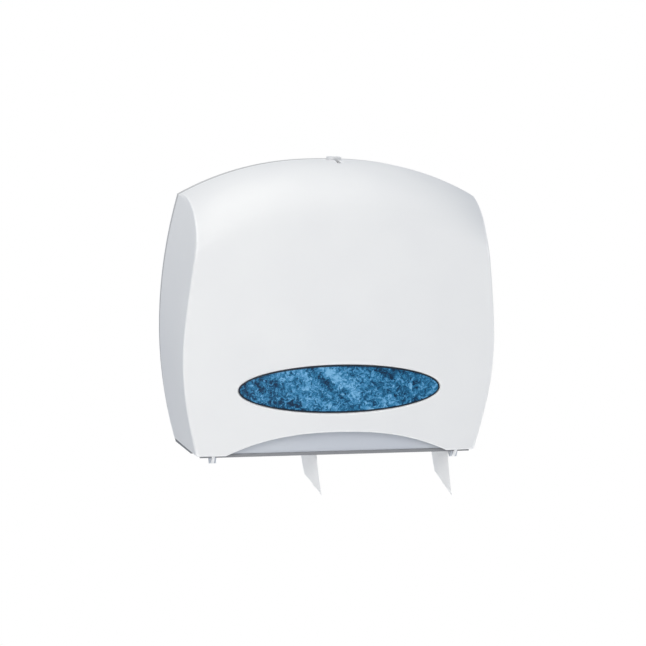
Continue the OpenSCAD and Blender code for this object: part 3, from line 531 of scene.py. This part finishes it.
def row_half(z_face, z_side, inset):
    """The right half of one row of the cover's skin, from the middle round to the rim."""
    share = crown_share(SHOULDER_Z - inset - z_side, inset, SHOULDER_X)
    depth = BACK + (face_depth(z_side) - inset - BACK - FACE_BOW) * share
    rim_x = side_x(z_side) - inset
    edge = Vector((rim_x - math.tan(math.radians(lean_at(z_side))) * (depth - BACK), depth, z_side))
    rim = Vector((rim_x, BACK, z_side))
    side = (rim - edge).length
    r = min(EDGE_R, EDGE_SHARE * side)
    last_x = edge.x - max(r, MIN_EDGE)

    def on_face(x):
        return Vector((x, surface_depth(x, z_face(x), inset), z_face(x)))

    points = [on_face(last_x * (1 - (1 - i / FACE_COLS) ** COL_CROWD)) for i in range(FACE_COLS)]
    if side > MIN_SIDE:
        start, end = on_face(last_x), edge + (rim - edge) * r / side
        for i in range(EDGE_COLS):
            t = i / EDGE_COLS
            points.append(start * (1 - t) ** 2 + edge * 2 * t * (1 - t) + end * t * t)
        # the side's columns crowd towards the crease and the rim
        for i in range(SIDE_COLS + 1):
            points.append(end + (rim - end) * (1 - math.cos(math.pi * i / SIDE_COLS)) / 2)
    else:
        rest = EDGE_COLS + SIDE_COLS
        points += [on_face(last_x + MIN_EDGE * i / rest) for i in range(rest + 1)]
    return points


def skin_rows(inset, lip):
    """All rows of one skin, from the arched top to the bottom edge, which lip rounds off."""
    rows = []
    height = CROWN_H - inset
    for k in range(CROWN_ROWS + 1):
        drop = inset + height * (1 - math.cos(math.pi / 2 * k / CROWN_ROWS))
        rows.append(row_half(lambda x: top_z(x) - drop, SHOULDER_Z - drop, inset))
    for k in range(1, FACE_ROWS + 1):
        f = k / FACE_ROWS
        rows.append(row_half(
            lambda x: (top_z(x) - CROWN_H) * (1 - f) + (bottom_z(x) + LIP_R) * f,
            (SHOULDER_Z - CROWN_H) * (1 - f) + LIP_R * f, inset))
    for k in range(1, LIP_ROWS + 1):
        a = math.pi / 2 * k / LIP_ROWS
        lift = LIP_R * (1 - math.sin(a))
        deeper = inset + (LIP_R * (1 - math.cos(a)) if lip else 0)
        rows.append(row_half(lambda x: bottom_z(x) + lift, lift, deeper))
    return rows


HALF_COLS = FACE_COLS + EDGE_COLS + SIDE_COLS
COLS = 2 * HALF_COLS + 1
ALL_ROWS = CROWN_ROWS + FACE_ROWS + LIP_ROWS + 1
OVAL_RINGS, BORDER_RING, RING_CROWD = 22, 0.015, 0.75


def skin(inset, lip):
    """One skin of the cover: its points, faces, rim loop and the loop round the oval."""
    points, faces = [], []
    for row in skin_rows(inset, lip):
        points += [(-p.x, p.y, p.z) for p in reversed(row[1:])] + [tuple(p) for p in row]

    def at(row, col):
        return row * COLS + col + HALF_COLS

    first, last = CROWN_ROWS, CROWN_ROWS + FACE_ROWS
    for r in range(ALL_ROWS - 1):
        for c in range(-HALF_COLS, HALF_COLS):
            if first <= r < last and -FACE_COLS <= c < FACE_COLS:
                continue
            faces.append((at(r, c), at(r, c + 1), at(r + 1, c + 1), at(r + 1, c)))
    # the face itself runs in rings from its border in to the oval
    border = ([at(first, c) for c in range(-FACE_COLS, FACE_COLS)]
              + [at(r, FACE_COLS) for r in range(first, last)]
              + [at(last, c) for c in range(FACE_COLS, -FACE_COLS, -1)]
              + [at(r, -FACE_COLS) for r in range(last, first, -1)])
    rim_r = LIP_R if lip else 0
    shares = [BORDER_RING, 3 * BORDER_RING]
    shares += [(k / OVAL_RINGS) ** RING_CROWD for k in range(1, OVAL_RINGS + 1)]
    steps = [(share, rim_r, inset) for share in shares]
    if lip:
        for k in range(1, LIP_ROWS + 1):
            a = math.pi / 2 * k / LIP_ROWS
            steps.append((1, LIP_R * (1 - math.sin(a)), inset + LIP_R * (1 - math.cos(a))))
    ring = border
    for share, grow, deep in steps:
        fresh = []
        for i in border:
            x, _, z = points[i]
            t = math.atan2((z - OVAL_Z) / (OVAL_H / 2), x / (OVAL_W / 2))
            ox = (OVAL_W / 2 + grow) * math.cos(t)
            oz = OVAL_Z + (OVAL_H / 2 + grow) * math.sin(t)
            px, pz = x + (ox - x) * share, z + (oz - z) * share
            fresh.append(len(points))
            points.append((px, surface_depth(px, pz, deep), pz))
        n = len(ring)
        faces += [(ring[i], ring[(i + 1) % n], fresh[(i + 1) % n], fresh[i]) for i in range(n)]
        ring = fresh
    rim = ([at(0, c) for c in range(-HALF_COLS, HALF_COLS)]
           + [at(r, HALF_COLS) for r in range(ALL_ROWS - 1)]
           + [at(ALL_ROWS - 1, c) for c in range(HALF_COLS, -HALF_COLS, -1)]
           + [at(r, -HALF_COLS) for r in range(ALL_ROWS - 1, 0, -1)])
    return points, faces, rim, ring


STRIKE_TOP = crown_z(STRIKE_D + STRIKE_LEN, WALL) - STRIKE_GAP
RIB_STEPS, CUT_BELOW, CUT_ABOVE = 12, 20, 5


def face_rib(x):
    """An upright stiffening rib inside the face, as a solid."""
    rise = COVER_RIB_HIGH - COVER_RIB_LOW
    heights = [COVER_RIB_LOW + rise * i / RIB_STEPS for i in range(RIB_STEPS + 1)]
    loop = [(surface_depth(x, h, WALL) + WALL / 2, h) for h in heights]
    loop += [(surface_depth(x, h, WALL) - COVER_RIB_H, h) for h in reversed(heights)]
    return prism_mesh(x - COVER_RIB_W / 2, x + COVER_RIB_W / 2, loop)


def strike_boss(x):
    """A boss under the crown for one screw of the strike, as a solid."""
    near, far = STRIKE_D + 1, STRIKE_D + STRIKE_LEN
    loop = [(near, STRIKE_TOP), (far, STRIKE_TOP)] + [(d, crown_z(d, WALL / 2)) for d in (far, near)]
    return prism_mesh(x - STRIKE_BOSS_W / 2, x + STRIKE_BOSS_W / 2, loop)


def cover_shell():
    """The whole cover: both skins joined round the rim and the oval, ribs, bosses, notch, key slot."""
    outer, outer_faces, outer_rim, outer_oval = skin(0, True)
    inner, inner_faces, inner_rim, inner_oval = skin(WALL, False)
    shift = len(outer)
    faces = outer_faces + [tuple(i + shift for i in f) for f in inner_faces]
    for a, b in ((outer_rim, inner_rim), (outer_oval, inner_oval)):
        n = len(a)
        faces += [(a[i], a[(i + 1) % n], b[(i + 1) % n] + shift, b[i] + shift) for i in range(n)]
    piece = mesh_object("cover_shell", outer + inner, faces)
    tidy_mesh(piece)
    for side in (-1, 1):
        for x in COVER_RIB_X:
            combine(piece, face_rib(side * x), "UNION")
        combine(piece, strike_boss(LATCH_X + side * STRIKE_BOSS_X), "UNION")
    low, high = CASE_H - CUT_BELOW, CASE_H + CUT_ABOVE
    half = BUTTON_W / 2 + NOTCH_GAP
    combine(piece, box_mesh((LATCH_X - half, RIM_D - 1, low),
                            (LATCH_X + half, BUTTON_FRONT + NOTCH_GAP, high)), "DIFFERENCE")
    slot_x = LATCH_X - 1
    combine(piece, box_mesh((slot_x, BUTTON_FRONT, low),
                            (slot_x + KEY_SLOT_W, BUTTON_FRONT + KEY_SLOT_LEN, high)), "DIFFERENCE")
    tidy_mesh(piece)
    round_edges(piece, 0.45, angle=50)
    smooth(piece)
    finish_piece(piece, "white_plastic", "cover", "front_cover")


cover_shell()


# ---- the oval panel and its ring ----
OVAL_STEPS, PANEL_RINGS, PANEL_CENTRE = 300, 16, 0.02


def oval_loop(grow, inset, share=1.0):
    """A loop round the oval, grown outwards and set back behind the face."""
    loop = []
    for i in range(OVAL_STEPS):
        t = 2 * math.pi * i / OVAL_STEPS
        x = share * (OVAL_W / 2 + grow) * math.cos(t)
        z = OVAL_Z + share * (OVAL_H / 2 + grow) * math.sin(t)
        loop.append((x, surface_depth(x, z, inset), z))
    return loop


def panel_ring():
    """The dark ring between the cover and the oval, with a soft front."""
    out, inn, front, back = -RING_GAP, -RING_GAP - RING_W, 0.4, 3.1
    soft, corner = 0.5, 0.15
    loops = [(inn, back), (inn, front + soft), (inn + corner, front + corner), (inn + soft, front),
             (out - soft, front), (out - corner, front + corner), (out, front + soft), (out, back)]
    piece = mesh_object("oval_ring", *loft([oval_loop(g, i) for g, i in loops], True))
    tidy_mesh(piece)
    smooth(piece, 40)
    finish_piece(piece, "ring_plastic", "cover", "panel_ring")


def oval_panel():
    """The marbled panel: its field fills the ring, and a flange behind it rests on the cover."""
    field, front, seat, back = -RING_GAP - RING_W - PANEL_GAP, 1.0, 3.3, 5.3
    soft, corner = 0.3, 0.09
    shares = [PANEL_CENTRE + (1 - PANEL_CENTRE) * k / PANEL_RINGS for k in range(PANEL_RINGS + 1)]
    loops = [oval_loop(field, front, s) for s in shares[:-1]]
    loops += [oval_loop(field - soft, front), oval_loop(field - corner, front + corner),
              oval_loop(field, front + soft), oval_loop(field, seat),
              oval_loop(PANEL_FLANGE, seat), oval_loop(PANEL_FLANGE, back)]
    loops += [oval_loop(field, back, s) for s in reversed(shares)]
    points, faces = loft(loops, False)
    n = len(points)
    faces += [tuple(range(OVAL_STEPS)), tuple(range(n - OVAL_STEPS, n))[::-1]]
    piece = mesh_object("marbled_oval", points, faces)
    tidy_mesh(piece)
    smooth(piece, 40)
    finish_piece(piece, "marbled_panel", "cover", "oval_panel")


panel_ring()
oval_panel()


# ---- pieces that keep the part's shape and get their moulded edge radii ----
def rounded_copy(node, slot, body, width):
    """The part's own shape of a node, with its flats merged and its edges rounded."""
    piece = bpy.data.objects.new(node + "_finished", cad[node].data.copy())
    scene.collection.objects.link(piece)
    shape = bmesh.new()
    shape.from_mesh(piece.data)
    bmesh.ops.remove_doubles(shape, verts=shape.verts, dist=MERGE)
    bmesh.ops.dissolve_limit(shape, angle_limit=math.radians(0.5), verts=shape.verts,
                             edges=shape.edges)
    shape.to_mesh(piece.data)
    shape.free()
    round_edges(piece, width)
    smooth(piece)
    finish_piece(piece, slot, body, node)


for node, slot, body, width in (
    # the rear housing's grey is partly painted shade for its shaded rim
    ("rear_housing", "housing_plastic", "housing", 0.5),
    ("paper_guide", "grey_plastic", "housing", 0.5),
    # chin_trim and side_rails are dark strips, partly painted shade for the shadow line along the bottom
    # edge
    ("chin_trim", "trim_plastic", "housing", 0.9),
    ("side_rails", "trim_plastic", "housing", 0.3),
    ("hinge_pins", "steel", "housing", 0.4),
    ("latch_housing", "grey_plastic", "housing", 0.35),
    ("latch_button", "button_plastic", "latch", 0.6),
    ("hinge_bracket_left", "white_plastic", "cover", 0.4),
    ("hinge_bracket_right", "white_plastic", "cover", 0.4),
    # the strike's near-black is partly painted shade, seen through the key slot
    ("strike", "blackened_steel", "cover", 0.3),
    ("main_post", "grey_plastic", "housing", 0.5),
    ("stub_post", "grey_plastic", "housing", 0.5),
    ("main_hub", "grey_plastic", "main_roll", 0.4),
    ("stub_hub", "grey_plastic", "stub_roll", 0.4),
    ("main_end_cap", "dark_plastic", "housing", 0.6),
    ("stub_end_cap", "dark_plastic", "housing", 0.6),
    ("main_core", "cardboard", "main_roll", 0.2),
    ("stub_core", "cardboard", "stub_roll", 0.2),
    ("tear_bar_rivets", "steel", "housing", 0.2),
):
    rounded_copy(node, slot, body, width)


# ---- paper ----
ROLL_STEPS, PAPER_RING, PAPER_LIP = 160, 3, 0.6


def roll_of_paper(name, x, z, radius, body, node):
    """A wound roll with soft edges, turned round the depth axis."""
    profile = [(CORE_R, ROLL_BACK), (CORE_R, ROLL_FRONT), (CORE_R + PAPER_LIP, ROLL_FRONT)]
    rings = max(4, int((radius - CORE_R) / PAPER_RING))
    profile += [(CORE_R + (radius - CORE_R) * k / rings, ROLL_FRONT) for k in range(1, rings)]
    soft = [(radius - PAPER_SOFT * (1 - math.sin(a)), PAPER_SOFT * (1 - math.cos(a)))
            for a in (math.radians(degrees) for degrees in range(0, 91, 15))]
    profile += [(r, ROLL_FRONT - d) for r, d in soft]
    profile += [(r, ROLL_BACK + d) for r, d in reversed(soft)]
    turns = [2 * math.pi * i / ROLL_STEPS for i in range(ROLL_STEPS)]
    loops = [[(x + r * math.cos(t), d, z + r * math.sin(t)) for t in turns] for r, d in profile]
    piece = mesh_object(name, *loft(loops, True))
    tidy_mesh(piece)
    smooth(piece)
    finish_piece(piece, "tissue", body, node)
    return piece


main_roll = roll_of_paper("main_roll_wound", ROLL_X, ROLL_Z, ROLL_R - PAPER_CLEAR, "main_roll",
                          "main_roll_paper")
stub_roll = roll_of_paper("stub_roll_wound", STUB_X, STUB_Z, STUB_R - PAPER_CLEAR, "stub_roll",
                          "stub_roll_paper")


TAIL_ACROSS, TAIL_DOWN, DRIFT_START, STAND_OFF, EDGE_GAP = 60, 90, 60, 0.45, 0.5
TORN_TEETH, TORN_SWING, TORN_WAVES, CURL, SWAY = 0.5, 0.35, (1.7, 0.61), 0.25, 0.35


def torn_edge(depth):
    """How far the torn end stands back at this depth: the bar's teeth and a slow unevenness."""
    teeth = TORN_TEETH * abs((depth / TOOTH_PITCH) % 1 - 0.5) * 2
    return teeth + TORN_SWING * math.sin(depth * TORN_WAVES[0]) * math.sin(depth * TORN_WAVES[1])


def hanging_tail(name, x, z, hang, slant, front, back, node):
    """A tail of tissue that leaves its roll at (x, z), twists a little and ends torn off.

    Its front and back edges each drift sideways, by one amount at the case's bottom edge and by
    another at the lower end; slant is how much shorter the back edge hangs."""

    def drift(ends, height, low):
        """Sideways place of one edge of the tail at this height."""
        at_edge, at_end = ends
        if height > 0:
            return at_edge * (1 - min(height, DRIFT_START) / DRIFT_START) ** 2
        t = height / low
        return at_edge + (at_end - at_edge) * ((1 - CURL) * t + CURL * t * t)

    points, faces = [], []
    for j in range(TAIL_DOWN + 1):
        for i in range(TAIL_ACROSS + 1):
            u, v = i / TAIL_ACROSS, j / TAIL_DOWN
            depth = ROLL_BACK + EDGE_GAP + (ROLL_FRONT - ROLL_BACK - 2 * EDGE_GAP) * u
            end = -hang + slant * (1 - u)
            height = z + (end + torn_edge(depth) - z) * v
            sideways = drift(front, height, end) * u + drift(back, height, end) * (1 - u)
            free = min(1, max(0, 1 - height / DRIFT_START))
            wave = SWAY * math.sin(depth * 0.13 + height * 0.05) * free
            points.append((x + STAND_OFF + sideways + wave, depth, height))
    row = TAIL_ACROSS + 1
    for j in range(TAIL_DOWN):
        for i in range(TAIL_ACROSS):
            a = j * row + i
            faces.append((a, a + 1, a + row + 1, a + row))
    piece = mesh_object(name, points, faces)
    thick = piece.modifiers.new("plies", "SOLIDIFY")
    thick.thickness = TISSUE_T * MM
    thick.offset = 0
    bake(piece)
    smooth(piece, 60)
    finish_piece(piece, "tissue", "housing", node)


hanging_tail("main_tail_sheet", ROLL_X + ROLL_R, ROLL_Z, MAIN_HANG, slant=7,
             front=(5.1, 12.3), back=(3.6, 13.5), node="main_tail")
hanging_tail("stub_tail_sheet", STUB_X + STUB_R, STUB_Z, STUB_HANG, slant=3,
             front=(6.3, 14), back=(-2.6, 7.5), node="stub_tail")


# ---- what repeats, made by geometry trees: the spring's turns, screws and teeth ----
def new_tree(name, sockets):
    """A geometry tree with its named inputs; returns it with its input and output nodes."""
    tree = bpy.data.node_groups.new(name, "GeometryNodeTree")
    tree.interface.new_socket("Geometry", in_out="INPUT", socket_type="NodeSocketGeometry")
    for label, kind in sockets:
        tree.interface.new_socket(label, in_out="INPUT", socket_type="NodeSocket" + kind)
    tree.interface.new_socket("Geometry", in_out="OUTPUT", socket_type="NodeSocketGeometry")
    return tree, tree.nodes.new("NodeGroupInput"), tree.nodes.new("NodeGroupOutput")


def close_tree(tree, given, made, socket):
    """Ends a tree: what it made is realized and gets its finish."""
    real = add_node(tree, "GeometryNodeRealizeInstances", {"Geometry": socket})
    coat = add_node(tree, "GeometryNodeSetMaterial",
                    {"Geometry": real.outputs["Geometry"], "Material": given.outputs["Finish"]})
    tree.links.new(coat.outputs["Geometry"], made.inputs["Geometry"])


def grow(piece, tree, values):
    """Runs the tree on the piece with its inputs set by name, and keeps the plain mesh."""
    made = piece.modifiers.new(tree.name, "NODES")
    made.node_group = tree
    for item in tree.interface.items_tree:
        if item.in_out == "INPUT" and item.name in values:
            made[item.identifier] = values[item.name]
    bake(piece)


def coil_tree():
    """A wire wound up the Z axis."""
    tree, given, made = new_tree("coil", [
        ("Coil Radius", "Float"), ("Wire", "Float"), ("Turns", "Float"), ("Length", "Float"),
        ("Finish", "Material")])
    radius = given.outputs["Coil Radius"]
    spiral = add_node(tree, "GeometryNodeCurveSpiral",
                      {"Resolution": 40, "Rotations": given.outputs["Turns"], "Start Radius": radius,
                       "End Radius": radius, "Height": given.outputs["Length"]})
    half = maths(tree, "MULTIPLY", given.outputs["Wire"], 0.5)
    wire = add_node(tree, "GeometryNodeCurvePrimitiveCircle", {"Resolution": 12, "Radius": half})
    tube = add_node(tree, "GeometryNodeCurveToMesh",
                    {"Curve": spiral.outputs["Curve"], "Profile Curve": wire.outputs["Curve"],
                     "Fill Caps": True})
    close_tree(tree, given, made, tube.outputs["Mesh"])
    return tree


def screw_tree():
    """A domed screw with a cross recess on each point: seat at the point, head along the turned Z."""
    tree, given, made = new_tree("screws", [
        ("Head Radius", "Float"), ("Head Height", "Float"), ("Shank Radius", "Float"),
        ("Shank Length", "Float"), ("Turn", "Vector"), ("Finish", "Material")])

    def raised(mesh, height):
        """The mesh, moved up the Z axis."""
        up = add_node(tree, "ShaderNodeCombineXYZ", {"Z": height}).outputs[0]
        return add_node(tree, "GeometryNodeTransform", {"Geometry": mesh, "Translation": up}).outputs[0]

    radius, height = given.outputs["Head Radius"], given.outputs["Head Height"]
    body = add_node(tree, "GeometryNodeMeshCylinder",
                    {"Vertices": 40, "Radius": radius, "Depth": height})
    body = raised(body.outputs["Mesh"], maths(tree, "MULTIPLY", height, 0.5))
    # the dome is a sphere that cuts the cylinder's upper edge at six tenths of its height
    sag = maths(tree, "MULTIPLY", height, 0.4)
    squares = [maths(tree, "MULTIPLY", side, side) for side in (radius, sag)]
    ball_r = maths(tree, "DIVIDE", maths(tree, "ADD", *squares), maths(tree, "MULTIPLY", sag, 2.0))
    ball = add_node(tree, "GeometryNodeMeshUVSphere", {"Segments": 64, "Rings": 64, "Radius": ball_r})
    ball = raised(ball.outputs["Mesh"], maths(tree, "SUBTRACT", height, ball_r))
    head = add_node(tree, "GeometryNodeMeshBoolean", operation="INTERSECT")
    tree.links.new(body, head.inputs["Mesh 2"])
    tree.links.new(ball, head.inputs["Mesh 2"])
    recess = add_node(tree, "GeometryNodeMeshBoolean", operation="DIFFERENCE")
    tree.links.new(head.outputs["Mesh"], recess.inputs["Mesh 1"])
    for long, wide in (("X", "Y"), ("Y", "X")):
        size = add_node(tree, "ShaderNodeCombineXYZ", {
            long: maths(tree, "MULTIPLY", radius, 1.15),
            wide: maths(tree, "MULTIPLY", radius, 0.28), "Z": height})
        slot = add_node(tree, "GeometryNodeMeshCube", {"Size": size.outputs[0]})
        tree.links.new(raised(slot.outputs["Mesh"], height), recess.inputs["Mesh 2"])
    length = given.outputs["Shank Length"]
    shank = add_node(tree, "GeometryNodeMeshCylinder",
                     {"Vertices": 32, "Radius": given.outputs["Shank Radius"], "Depth": length})
    whole = add_node(tree, "GeometryNodeJoinGeometry")
    tree.links.new(recess.outputs["Mesh"], whole.inputs["Geometry"])
    tree.links.new(raised(shank.outputs["Mesh"], maths(tree, "MULTIPLY", length, -0.5)),
                   whole.inputs["Geometry"])
    spread = add_node(tree, "GeometryNodeInstanceOnPoints",
                      {"Points": given.outputs["Geometry"], "Instance": whole.outputs["Geometry"],
                       "Rotation": given.outputs["Turn"]})
    close_tree(tree, given, made, spread.outputs["Instances"])
    return tree


def teeth_tree():
    """Three-sided teeth side by side on the points, tips down."""
    tree, given, made = new_tree("teeth", [
        ("Pitch", "Float"), ("Height", "Float"), ("Thickness", "Float"), ("Finish", "Material")])
    tooth = add_node(tree, "GeometryNodeMeshCylinder", {"Vertices": 3, "Radius": 1.0, "Depth": 1.0})
    # a triangle of radius 1 is 1.5 high and the root of 3 wide
    size = add_node(tree, "ShaderNodeCombineXYZ", {
        "X": maths(tree, "DIVIDE", given.outputs["Height"], 1.5),
        "Y": maths(tree, "DIVIDE", given.outputs["Pitch"], math.sqrt(3)),
        "Z": given.outputs["Thickness"]})
    sized = add_node(tree, "GeometryNodeTransform",
                     {"Geometry": tooth.outputs["Mesh"], "Scale": size.outputs[0]})
    hung = add_node(tree, "GeometryNodeTransform", {"Geometry": sized.outputs["Geometry"]})
    hung.inputs["Rotation"].default_value = (math.pi / 2, math.pi / 2, 0)
    spread = add_node(tree, "GeometryNodeInstanceOnPoints",
                      {"Points": given.outputs["Geometry"], "Instance": hung.outputs["Geometry"]})
    close_tree(tree, given, made, spread.outputs["Instances"])
    return tree


def latch_spring():
    """The button's coil spring, made at one length; the real one gets shorter as the button is pressed.
    """
    piece = mesh_object("latch_coil", [(0, 0, 0)], [])
    length = SPRING_HIGH - SPRING_LOW
    grow(piece, coil_tree(), {"Coil Radius": SPRING_R * MM, "Wire": SPRING_WIRE * MM,
                              "Turns": float(SPRING_TURNS), "Length": (length - SPRING_WIRE) * MM,
                              "Finish": FINISH["steel"]})
    foot = (LATCH_X * MM, -(BUTTON_BACK + BUTTON_FRONT) / 2 * MM)
    piece.data.transform(Matrix.Translation((*foot, (SPRING_LOW + SPRING_WIRE / 2 - SCREW_MID_Z) * MM)))
    smooth(piece, 60)
    finish_piece(piece, "steel", "housing", "latch_spring")
    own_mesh(piece)


latch_spring()

SCREWS = screw_tree()
FORWARD, BACKWARD, DOWN = (math.pi / 2, 0, 0), (-math.pi / 2, 0, 0), (math.pi, 0, 0)


def screws(node, body, points, turn, sizes):
    """Screws of one kind with their seats at points."""
    head, shank = sizes
    piece = mesh_object(node + "_finished", points, [])
    grow(piece, SCREWS, {"Head Radius": head[0] * MM, "Head Height": head[1] * MM,
                         "Shank Radius": shank[0] * MM, "Shank Length": shank[1] * MM, "Turn": turn,
                         "Finish": FINISH["steel"]})
    smooth(piece, 40)
    finish_piece(piece, "steel", body, node)


def bolt_circle(x, z):
    """The seats of the three screws in a post's flange."""
    return [(x + BOLT_CIRCLE_R * math.cos(a), POST_FLANGE - SCREW_SINK, z - BOLT_CIRCLE_R * math.sin(a))
            for a in (math.radians(120 * i + 30) for i in range(3))]


SIDES = (-1, 1)
guide_screw_x, latch_screw_z = CHEEK_OUT + GUIDE_SCREW_OUT, CASE_H - LATCH_SCREW_DROP
screws("guide_screws", "housing",
       [(s * guide_screw_x, SCREW_SEAT_D, z) for s in SIDES for z in GUIDE_SCREW_Z],
       FORWARD, GUIDE_SCREW)
screws("latch_screws", "housing",
       [(LATCH_X + s * LATCH_SCREW_X, SCREW_SEAT_D, latch_screw_z) for s in SIDES],
       FORWARD, LATCH_SCREW)
for node, x, z in (("main_post_screws", ROLL_X, ROLL_Z), ("stub_post_screws", STUB_X, STUB_Z)):
    screws(node, "housing", bolt_circle(x, z), FORWARD, POST_SCREW)
for node, x, z in (("main_cap_screw", ROLL_X, ROLL_Z), ("stub_cap_screw", STUB_X, STUB_Z)):
    screws(node, "housing", [(x, ROLL_FRONT + CAP_T, z)], FORWARD, CAP_SCREW)
strike_screw_d, strike_seat = STRIKE_D + (LIP_T + STRIKE_LEN) / 2, STRIKE_TOP - STRIKE_T
screws("strike_screws", "cover",
       [(LATCH_X + s * STRIKE_BOSS_X, strike_screw_d, strike_seat) for s in SIDES],
       DOWN, STRIKE_SCREW)
foot_out = CHEEK_OUT + FOOT_OVER
bracket_seat = surface_depth(foot_out, BRACKET_SCREW_Z, WALL) - BRACKET_SEAT_IN
bracket_xs = (CHEEK_OUT - INNER_SCREW_IN, foot_out - OUTER_SCREW_IN)
screws("bracket_screws", "cover",
       [(s * x, bracket_seat, BRACKET_SCREW_Z) for s in SIDES for x in bracket_xs],
       BACKWARD, BRACKET_SCREW)


def tear_bar():
    """The toothed strip behind the chin: a flat strip and its row of teeth."""
    count = int(2 * TEAR_HALF / TOOTH_PITCH)
    low, front = TOOTH_H - TEAR_DROP, CHIN_D - GUIDE_WALL
    middle = front - TEAR_T / 2
    piece = mesh_object("tear_bar_finished", [
        ((i - (count - 1) / 2) * TOOTH_PITCH, middle, low - TOOTH_H / 3) for i in range(count)], [])
    grow(piece, teeth_tree(), {"Pitch": TOOTH_PITCH * MM, "Height": TOOTH_H * MM,
                               "Thickness": TEAR_T * MM, "Finish": FINISH["dark_plastic"]})
    strip = mesh_object("strip", *box_mesh((-TEAR_HALF, front - TEAR_T, low),
                                           (TEAR_HALF, front, TEAR_TOP)))
    tidy_mesh(strip)
    shape = bmesh.new()
    shape.from_mesh(piece.data)
    shape.from_mesh(strip.data)
    shape.to_mesh(piece.data)
    shape.free()
    bpy.data.objects.remove(strip)
    smooth(piece, 20)
    finish_piece(piece, "dark_plastic", "housing", "tear_bar")


tear_bar()


# ---- floor and light ----
FLOOR_HALF, FLOOR_Z = 6, -0.8
KEY_COLOUR, SKY_COLOUR, SKY_STRENGTH = (1, 0.96, 0.88), (0.8, 0.88, 1.0, 1), 0.5


def white_to_camera(tree, glow_kind, lit, output):
    """Shows the camera plain white, and lets the lit shader light the object."""
    glow = add_node(tree, glow_kind, {"Color": (1, 1, 1, 1), "Strength": 1.0})
    path = add_node(tree, "ShaderNodeLightPath")
    mix = add_node(tree, "ShaderNodeMixShader", {0: path.outputs["Is Camera Ray"]})
    tree.links.new(lit, mix.inputs[1])
    tree.links.new(glow.outputs[0], mix.inputs[2])
    tree.links.new(mix.outputs["Shader"], output)
    return mix


def pale_floor():
    """The plain floor under the object."""
    corners = [(x * FLOOR_HALF, y * FLOOR_HALF, FLOOR_Z)
               for x, y in ((-1, -1), (1, -1), (1, 1), (-1, 1))]
    floor = bpy.data.meshes.new("floor")
    floor.from_pydata(corners, [], [(0, 1, 2, 3)])
    plane = bpy.data.objects.new("floor", floor)
    scene.collection.objects.link(plane)
    material, tree, shader = new_material("pale_floor")
    shader.inputs["Base Color"].default_value = (0.85, 0.85, 0.86, 1)
    shader.inputs["Roughness"].default_value = 0.9
    surface = tree.nodes["Material Output"].inputs["Surface"]
    mix = white_to_camera(tree, "ShaderNodeEmission", shader.outputs["BSDF"], surface)
    # from underneath the floor is clear, so the object can be looked at from below
    clear = add_node(tree, "ShaderNodeBsdfTransparent")
    side = add_node(tree, "ShaderNodeNewGeometry")
    whole = add_node(tree, "ShaderNodeMixShader", {0: side.outputs["Backfacing"]})
    tree.links.new(mix.outputs["Shader"], whole.inputs[1])
    tree.links.new(clear.outputs["BSDF"], whole.inputs[2])
    tree.links.new(whole.outputs["Shader"], surface)
    floor.materials.append(material)


def sky():
    """Soft light from all round."""
    world = bpy.data.worlds.new("studio")
    world.use_nodes = True
    scene.world = world
    tree = world.node_tree
    base = tree.nodes["Background"]
    base.inputs["Color"].default_value = SKY_COLOUR
    base.inputs["Strength"].default_value = SKY_STRENGTH
    white_to_camera(tree, "ShaderNodeBackground", base.outputs["Background"],
                    tree.nodes["World Output"].inputs["Surface"])


def softbox(name, place, aim, size, power):
    """An area light at place, facing aim; metres and watts."""
    data = bpy.data.lights.new(name, "AREA")
    data.shape = "RECTANGLE"
    data.size, data.size_y = size
    data.energy = power
    data.color = KEY_COLOUR
    light = bpy.data.objects.new(name, data)
    scene.collection.objects.link(light)
    light.location = place
    light.rotation_mode = "QUATERNION"
    light.rotation_quaternion = (Vector(aim) - Vector(place)).to_track_quat("-Z", "Y")


pale_floor()
sky()
softbox("upper key", (-0.45, -1.5, 0.75), (-0.05, -0.1, 0.05), (0.7, 0.7), 7.7)
softbox("lower key", (-0.45, -1.5, -0.55), (-0.05, -0.1, -0.05), (0.7, 0.7), 4.3)
softbox("front fill", (0, -3, 0.5), (0, -0.1, 0), (2.5, 2.0), 7.6)
softbox("crown light", (-0.6, 0.2, 1.9), (-0.05, -0.05, 0.1), (1.2, 1.2), 16)
softbox("back light", (1.3, 0.3, -0.55), (0, -0.05, -0.2), (1.0, 0.7), 9)
scene.view_settings.view_transform = "Standard"
